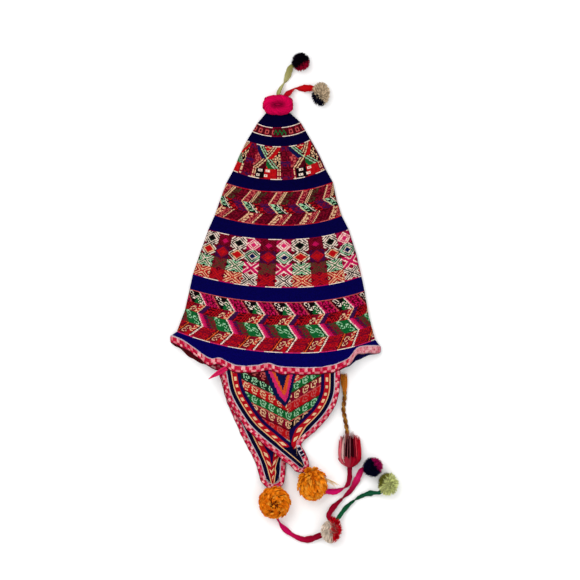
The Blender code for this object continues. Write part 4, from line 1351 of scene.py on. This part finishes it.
chance = np.random.default_rng(19)
flap_wool = wool_finish("flap_wool", ridges(1, 1), ply=(3.0, 3.0), strength=0.6, distance=0.4, shade=0.35)
for name, rows, crease, tail, under, pattern in (
    ("near_flap", NEAR_FLAP_ROWS, NEAR_CREASE, NEAR_TAIL, near_flap_under, near_pattern),
    ("far_flap", FAR_FLAP_ROWS, FAR_CREASE, FAR_TAIL, far_flap_under, far_pattern),
):
    mesh = knit_flap(name + "_knitting", rows, crease, under, pattern, chance)
    panel = show(name + "_knitting", mesh, flap_wool, name)
    mesh = band_round(name + "_band", rows, tail, under, chance)
    band = show(name + "_band", mesh, edging_wool, name + "_edging")


# Pompoms: balls of wool yarn. The pink one on the apex is a flat bun of yarn loops round a groove, the
# two orange ones are cut yarn in feathery locks, and the small ones on the cords are short cut yarn.
STRAND_SIDES = 3
CORE_SIDES = 24
CORE_ROWS = 14
TINY = 1e-9


def strand_piece(name, paths, radii, dyes, finish, node, ball=None):
    """A piece of many strands of yarn, and the dense ball under them.

    paths and radii hold each strand's points and half widths, in millimetres. dyes is one colour each.
    ball is its centre, its half sizes and its colour.
    """
    count, rings = radii.shape
    bm = bmesh.new()
    bmesh.ops.create_grid(bm, x_segments=STRAND_SIDES, y_segments=rings - 1, size=0.5)
    one = bpy.data.meshes.new(name + "_strand")
    bm.to_mesh(one)
    bm.clear()
    for _ in range(count):
        bm.from_mesh(one)
    if ball is not None:
        bmesh.ops.create_grid(bm, x_segments=CORE_SIDES, y_segments=CORE_ROWS, size=0.5)
    mesh = bpy.data.meshes.new(name)
    bm.to_mesh(mesh)
    bm.free()
    column, row = grid_steps(grid_places(one), STRAND_SIDES, rings - 1)
    bpy.data.meshes.remove(one)
    tangent = np.gradient(paths, axis=1)
    tangent /= np.linalg.norm(tangent, axis=2, keepdims=True) + TINY
    guide = np.where(np.abs(tangent[:, :, 2:3]) > 0.9, (1.0, 0.0, 0.0), (0.0, 0.0, 1.0))
    side = np.cross(tangent, guide)
    side /= np.linalg.norm(side, axis=2, keepdims=True) + TINY
    other = np.cross(tangent, side)
    turn = column * 2 * np.pi / STRAND_SIDES
    points = paths[:, row] + radii[:, row, None] * (
        np.cos(turn)[None, :, None] * side[:, row] + np.sin(turn)[None, :, None] * other[:, row]
    )
    points[:, :, 2] = np.maximum(points[:, :, 2], CLEARANCE)
    weave = np.tile(np.stack([column * 1.0, row / (rings - 1.0)], axis=1), (count, 1))
    weave[:, 0] += np.repeat(np.arange(count) * 5.0, len(row))
    points = points.reshape(-1, 3)
    colours = np.repeat(dyes, STRAND_SIDES * (rings - 1), axis=0)
    if ball is not None:
        centre, half, dye = ball
        u, v = np.meshgrid(np.linspace(0, 1, CORE_SIDES + 1), np.linspace(0, 1, CORE_ROWS + 1))
        u, v = u.ravel(), v.ravel()
        x, y = (turn(u * 2 * np.pi) * np.sin(v * np.pi) for turn in (np.cos, np.sin))
        own = np.array(centre) + np.stack([x, y, -np.cos(v * np.pi)], axis=1) * np.array(half)
        own[:, 2] = np.maximum(own[:, 2], CLEARANCE)
        points = np.concatenate([points, own])
        weave = np.concatenate([weave, np.stack([u * CORE_SIDES, np.full(len(u), 0.2)], axis=1)])
        colours = np.concatenate([colours, np.tile(dye, (CORE_SIDES * CORE_ROWS, 1))])
    lay_cloth(mesh, points, weave, colours, closed=True)
    show(name, mesh, finish, node)


def ball_directions(count, chance):
    """Directions spread evenly over a ball, in a spiral, each a little off its place."""
    k = np.arange(count) + 0.5
    z = 1.0 - 2.0 * k / count
    angle = k * math.pi * (3.0 - math.sqrt(5.0))
    level = np.sqrt(1.0 - z**2)
    found = np.stack([level * np.cos(angle), level * np.sin(angle), z], axis=1)
    return unit(found + chance.normal(0.0, 0.35 / math.sqrt(count), (count, 3)))


def bend(start, middle, end, rings):
    """Strands that bend from start over middle to end."""
    u = np.linspace(0.0, 1.0, rings)[None, :, None]
    return (1 - u) ** 2 * start[:, None] + 2 * u * (1 - u) * middle[:, None] + u**2 * end[:, None]


def cut_yarn(count, rings, thickness, chance, vary=0.2, end=0.35):
    """Half widths of cut strands: even along each one, with a thin end."""
    radii = np.full((count, rings), thickness) * chance.uniform(1.0 - vary, 1.0 + vary, (count, 1))
    radii[:, -1] *= end
    return radii


def strand_finish(name, ridge_count, ply, shade, roots=None):
    return wool_finish(name, ridges(0, ridge_count), ply, 0.35, 0.25, shade, roots)


# Painted shade: pompom strands darken towards their roots, inside the ball.
yarn = strand_finish("pompom_yarn", 6, (4.0, 9.0), 0.1, roots=(0.7, 0.8))
LARGE = (
    # node, centre, half sizes, locks, strands in a lock, seed
    ("near_flap_pompom", (49.0, -228.5, 19.6), (19.6, 21.6, 19.6), 260, 9, 5),
    ("far_flap_pompom", (0.0, -253.0, 20.1), (20.6, 20.6, 20.1), 300, 10, 6),
)
LARGE_RINGS = 7
ORANGE_DYES = screen_colour(
    ((255, 154, 30), (246, 136, 20), (255, 170, 54), (238, 122, 14), (252, 146, 26))
)
# The near one is combed away from the flap's tail. The far one's strands run round a dark notch.
COMBED = np.array((0.4, -0.95, 0.15))
NOTCH = np.array((0.16, -0.2, 0.96))
WISPS = 7
for node, centre, half, locks, per_lock, seed in LARGE:
    chance = np.random.default_rng(seed)
    count = locks * per_lock
    ways = ball_directions(locks, chance)
    near_one = node == "near_flap_pompom"
    lie = np.tile(COMBED, (locks, 1)) if near_one else np.cross(ways, NOTCH) * 1.3 + NOTCH * 0.35
    lie -= ways * (lie * ways).sum(axis=1)[:, None]
    lie = lie * 0.55 + chance.normal(0.0, 0.15, (locks, 3))
    own = unit(np.repeat(ways, per_lock, axis=0) + chance.normal(0.0, 0.9 / math.sqrt(locks), (count, 3)))
    lengths = np.repeat(chance.uniform(0.93, 1.05, locks), per_lock)[:, None]
    lengths = lengths * chance.uniform(0.95, 1.03, (count, 1))
    tips = unit(own + np.repeat(lie, per_lock, axis=0))
    dyes = np.repeat(ORANGE_DYES[chance.integers(0, len(ORANGE_DYES), locks)], per_lock, axis=0)
    dyes = dyes * chance.uniform(0.84, 1.08, (count, 1))
    paths = bend(own * 0.62, (own + tips) * 0.53 * lengths, tips * lengths, LARGE_RINGS)
    if not near_one:
        # The notch is wide and turns up at both ends. Its strands are drawn in over the core, whose dark
        # brown is painted shade in the notch.
        aside, up = (unit(paths) - NOTCH)[:, :, :2].transpose(2, 0, 1)
        gap = np.hypot(aside / 0.22, (up - 0.6 * np.abs(aside)) / 0.12)
        facing_up = paths[:, :, 2] > 0.0
        paths *= 1.0 - 0.3 * (np.exp(-(gap**6)) * facing_up)[:, :, None]
    paths = paths * np.array(half) + np.array(centre)
    if near_one:
        # A few pale strands stray towards the cord.
        stray = chance.normal(0.0, 1.0, (WISPS, 3))
        start = np.array((58.0, -222.0, 24.0)) + stray * 2.0
        end = np.array((80.0, -232.0, 12.0)) + stray * (3.0, 1.6, 2.0)
        wisps = bend(start, np.array((70.0, -221.0, 22.0)) + stray, end, LARGE_RINGS)
        paths = np.concatenate([paths, wisps])
        dyes = np.concatenate([dyes, np.tile(screen_colour((240, 206, 150)), (WISPS, 1))])
    # Painted shade: each core is darker than its yarn, as the shade between the strands; the far one's dark
    # brown is the notch's shade.
    core = (centre, np.array(half) * 0.78, screen_colour((206, 100, 16) if near_one else (110, 40, 8)))
    radii = cut_yarn(len(paths), LARGE_RINGS, 0.5, chance)
    strand_piece(node + "_strands", paths, radii, dyes, yarn, node, ball=core)

SMALL = (
    # node, centre, half sizes, first colour, second colour,
    # the way that the second one faces, its share, how the first one is combed
    ("black_pompom", (34.0, 318.0, 11.3), (11.6, 11.6, 11.3), (14, 6, 18), (164, 6, 46),
     (0.55, -0.8, 0.1), 0.5, (0.0, 0.0, 0.0)),
    ("beige_pompom", (60.0, 276.0, 11.3), (11.6, 15.0, 11.3), (216, 192, 160), (10, 10, 28),
     (-0.6, -0.8, 0.0), 0.45, (0.036, 0.108, 0.0)),
    ("white_red_pompom", (74.0, -288.5, 12.6), (13.4, 16.8, 12.6), (238, 220, 200), (210, 10, 30),
     (0.9, 0.1, 0.1), 0.02, (-0.096, -0.432, 0.0)),
    ("navy_pompom", (127.5, -207.5, 12.2), (13.0, 12.6, 12.2), (8, 10, 40), (176, 10, 90),
     (0.8, 0.5, 0.1), 0.5, (0.0, 0.0, 0.0)),
    ("lime_pompom", (147.5, -229.5, 12.6), (13.2, 14.9, 12.6), (222, 228, 150), (118, 116, 46),
     (-0.75, 0.6, 0.0), 0.55, (0.0, 0.0, 0.0)),
)
SMALL_STRANDS = 900
SMALL_RINGS = 5
SMALL_REACH = 1.08
for k, (node, centre, half, first, second, facing, share, comb) in enumerate(SMALL):
    chance = np.random.default_rng(30 + k)
    ways = ball_directions(SMALL_STRANDS, chance)
    is_second = (ways @ unit(np.array(facing)) + chance.normal(0.0, 0.1, SMALL_STRANDS) > share)[:, None]
    lumps = [noise.noise(Vector(way) * 2.2 + Vector((k * 3.0, 0, 0))) for way in ways]
    uneven = 1.0 + 0.12 * np.array(lumps)[:, None]
    end = ways * uneven * chance.uniform(0.8, 1.1, (SMALL_STRANDS, 1))
    end += chance.normal(0.0, 0.12, (SMALL_STRANDS, 3))
    end += np.array(comb) * ~is_second
    end /= np.maximum(1.0, np.linalg.norm(end, axis=1, keepdims=True) / SMALL_REACH)
    paths = bend(ways * 0.45, ways * 0.85 * uneven, end, SMALL_RINGS) * np.array(half) + np.array(centre)
    dyes = np.where(is_second, screen_colour(second), screen_colour(first))
    dyes = dyes * chance.uniform(0.4, 1.3, (SMALL_STRANDS, 1))
    # Painted shade: the core is half as bright as the first yarn, as the shade between the strands.
    core = (centre, np.array(half) * 0.72, screen_colour(first) * 0.5)
    radii = cut_yarn(SMALL_STRANDS, SMALL_RINGS, 0.55, chance)
    strand_piece(node + "_strands", paths, radii, dyes, yarn, node, ball=core)

# The pink bun: each loop rises from the groove, goes over the top and tucks under the side.
BUN_CENTRE = np.array((4.6, 261.9, 12.2))
BUN_HALF = np.array((19.6, 12.8, 13.2))
BUN_GROOVE = 3.0
BUN_BOXY = 2.6
BUN_LOOPS = 620
BUN_RINGS = 12
chance = np.random.default_rng(8)
angle = np.linspace(0.0, 2 * np.pi, BUN_LOOPS, endpoint=False) + chance.normal(0.0, 0.03, BUN_LOOPS)
u = np.linspace(0.0, 1.0, BUN_RINGS)
tilt = 0.06 + u * np.pi * 0.74
out = np.sin(tilt)[None, :]
folds = 1.0 + 0.022 * np.sin(angle * 7.0 + 1.0) + 0.014 * np.sin(angle * 13.0)
depth = (chance.uniform(0.93, 1.0, BUN_LOOPS) * folds)[:, None]
turned = angle[:, None] + 1.5 * np.sin(u * 1.8)[None, :]
boxy = (np.abs(np.cos(turned)) ** BUN_BOXY + np.abs(np.sin(turned)) ** BUN_BOXY) ** (-1 / BUN_BOXY)
x = np.cos(turned) * boxy * out * depth + np.cos(angle)[:, None] * (1.0 - out) * BUN_GROOVE / BUN_HALF[0]
y = np.sin(turned) * boxy * out * depth
flat_top = np.sign(np.cos(tilt)) * np.abs(np.cos(tilt)) ** 0.6
z = flat_top[None, :] * depth * 0.96 - 0.12 * np.exp(-((u / 0.12) ** 2))[None, :]
paths = np.stack([x, y, z], axis=2) * BUN_HALF + BUN_CENTRE
dyes = screen_colour((206, 4, 74)) * chance.uniform(0.7, 1.15, (BUN_LOOPS, 1))
# Painted shade: the core is darker than the loops, as the shade between them.
core = (BUN_CENTRE, BUN_HALF * 0.86, screen_colour((170, 2, 60)))
# Painted shade: the bun's loops darken at their roots, near the groove.
bun_yarn = strand_finish("bun_yarn", 8, (4.0, 12.0), 0.15, roots=(0.25, 0.25))
radii = cut_yarn(BUN_LOOPS, BUN_RINGS, 0.62, chance, end=1.0)
strand_piece("top_pompom_loops", paths, radii, dyes, bun_yarn, "top_pompom", ball=core)


# Tassel and tuft: cut yarn bound at one end. The maroon tassel opens like a tulip, pink on its left and
# red on its right, with fine dark strands inside. The gold tuft is a short brush at the brown cord's end.
chance = np.random.default_rng(41)
TASSEL_BACK = np.array((97.5, -207.5, 8.3))
TASSEL_LENGTH = 41.0
TASSEL_MOUTH = (15.0, 6.8)
TASSEL_TIP = 7.6
BRUSH_RINGS = 8
TASSEL_LAYERS = (
    # strands, thickness, least and greatest spread, shortest, longest, colour left, right, least |cos|
    (90, 0.75, 0.9, 1.0, 0.6, 0.98, (206, 96, 106), (178, 12, 34), 0.8),
    (50, 0.45, 0.7, 0.95, 0.8, 1.04, (232, 190, 184), (210, 62, 74), 0.62),
    (90, 0.8, 0.9, 1.0, 0.24, 0.36, (170, 44, 62), (150, 12, 34), 0.0),
    (320, 0.42, 0.1, 0.85, 0.66, 1.02, (40, 3, 10), (58, 4, 16), 0.0),
    (34, 0.34, 0.3, 1.0, 0.98, 1.14, (200, 112, 118), (150, 20, 40), 0.0),
)
# How wide it is open, from its bound end to its mouth.
TASSEL_OPENING = (
    (0.0, 0.2), (0.04, 0.42), (0.1, 0.68), (0.2, 0.9), (0.36, 1.0), (0.55, 0.97), (0.8, 0.84), (1.0, 0.8),
)
u = np.linspace(0.0, 1.0, BRUSH_RINGS)
paths = []
radii = []
dyes = []
for count, thickness, inner, outer, shortest, longest, left_dye, right_dye, sideways in TASSEL_LAYERS:
    across = chance.uniform(sideways, 1.0, count) * np.where(chance.uniform(0, 1, count) < 0.5, -1, 1)
    angle = np.arccos(across) * np.where(chance.uniform(0, 1, count) < 0.5, -1, 1)
    spread = chance.uniform(inner, outer, count)[:, None]
    length = TASSEL_LENGTH * chance.uniform(shortest, longest, count)
    share = u[None, :] * (length / TASSEL_LENGTH)[:, None]
    opening = column_at(TASSEL_OPENING, share) + chance.normal(0.0, 0.1, (count, 1)) * u[None, :] ** 2
    x = TASSEL_BACK[0] + np.cos(angle)[:, None] * spread * opening * TASSEL_MOUTH[0]
    rise = np.interp(share, [0.0, 0.4, 1.0], [TASSEL_BACK[2], TASSEL_BACK[2], TASSEL_TIP])
    z = rise + np.sin(angle)[:, None] * spread * (0.5 + 0.5 * opening) * TASSEL_MOUTH[1]
    y = TASSEL_BACK[1] + length[:, None] * u[None, :]
    paths.append(np.stack([x, y, z], axis=2))
    radii.append(cut_yarn(count, BRUSH_RINGS, thickness, chance, vary=0.25, end=0.3))
    tone = chance.uniform(0.7, 1.2, (count, 1))
    dyes.append(np.where(across[:, None] < 0.1, screen_colour(left_dye), screen_colour(right_dye)) * tone)
brush_yarn = strand_finish("tassel_yarn", 7, (4.0, 10.0), 0.15)
parts = [np.concatenate(part) for part in (paths, radii, dyes)]
strand_piece("maroon_tassel_strands", *parts, brush_yarn, "maroon_tassel")

TUFT_BACK = np.array((91.2, -113.5, 3.3))
TUFT_LENGTH = 27.5
TUFT_MOUTH = (4.6, 2.7)
TUFT_LEAN = 1.2
TUFT_STRANDS = 110
TUFT_RINGS = 7
TUFT_DYES = screen_colour(((206, 124, 34), (188, 100, 26), (222, 148, 58)))
angle = chance.uniform(0.0, 2 * np.pi, TUFT_STRANDS)
out = np.sqrt(chance.uniform(0.1, 1.0, TUFT_STRANDS))
u = np.linspace(0.0, 1.0, TUFT_RINGS)
opening = np.interp(u, [0, 0.2, 0.5, 1.0], [0.45, 0.5, 0.85, 1.0])[None, :]
x = np.cos(angle)[:, None] * out[:, None] * opening * TUFT_MOUTH[0] - TUFT_LEAN * u[None, :]
y = (TUFT_LENGTH * chance.uniform(0.8, 1.0, TUFT_STRANDS))[:, None] * u[None, :]
z = np.sin(angle)[:, None] * out[:, None] * opening * TUFT_MOUTH[1]
thin = np.full((TUFT_STRANDS, TUFT_RINGS), 0.5)
thin[:, -1] = 0.15
dyes = TUFT_DYES[chance.integers(0, 3, TUFT_STRANDS)] * chance.uniform(0.75, 1.15, (TUFT_STRANDS, 1))
paths = np.stack([x, y, z], axis=2) + TUFT_BACK
strand_piece("gold_tuft_strands", paths, thin, dyes, brush_yarn, "gold_tuft")


# Yarn end: where the magenta wool that sews the edging to the rim was cut. A few loose strands of it
# come out of the seam, lie side by side and end in a point.
END_BASE = np.array((-61.5, -79.0, 27.4))
END_TIP = np.array((-85.6, -93.3, 26.4))
END_STRANDS = 16
chance = np.random.default_rng(47)
across = unit(np.array((END_TIP[1] - END_BASE[1], END_BASE[0] - END_TIP[0], 0.0)))
off = chance.uniform(-1.0, 1.0, END_STRANDS)[:, None]
reach = chance.uniform(0.7, 1.0, END_STRANDS)[:, None] * np.linspace(0.0, 1.0, BRUSH_RINGS)
paths = END_BASE + (END_TIP - END_BASE) * reach[:, :, None]
paths += across * (off * np.interp(reach, [0, 0.4, 1.0], [3.0, 3.4, 0.3]))[:, :, None]
paths[:, :, 2] += chance.uniform(-0.2, 0.7, (END_STRANDS, 1))
thin = np.full((END_STRANDS, BRUSH_RINGS), 0.62)
thin[:, -1] = 0.2
dyes = screen_colour((216, 34, 92)) * chance.uniform(0.75, 1.15, (END_STRANDS, 1))
strand_piece("yarn_end_strands", paths, thin, dyes, brush_yarn, "yarn_end")

# What is declared as free cords, once the pompoms, the tassel and the tuft on them are made.
for name, (piece, line) in cord_pieces.items():
    cord = RIBBONS[name]
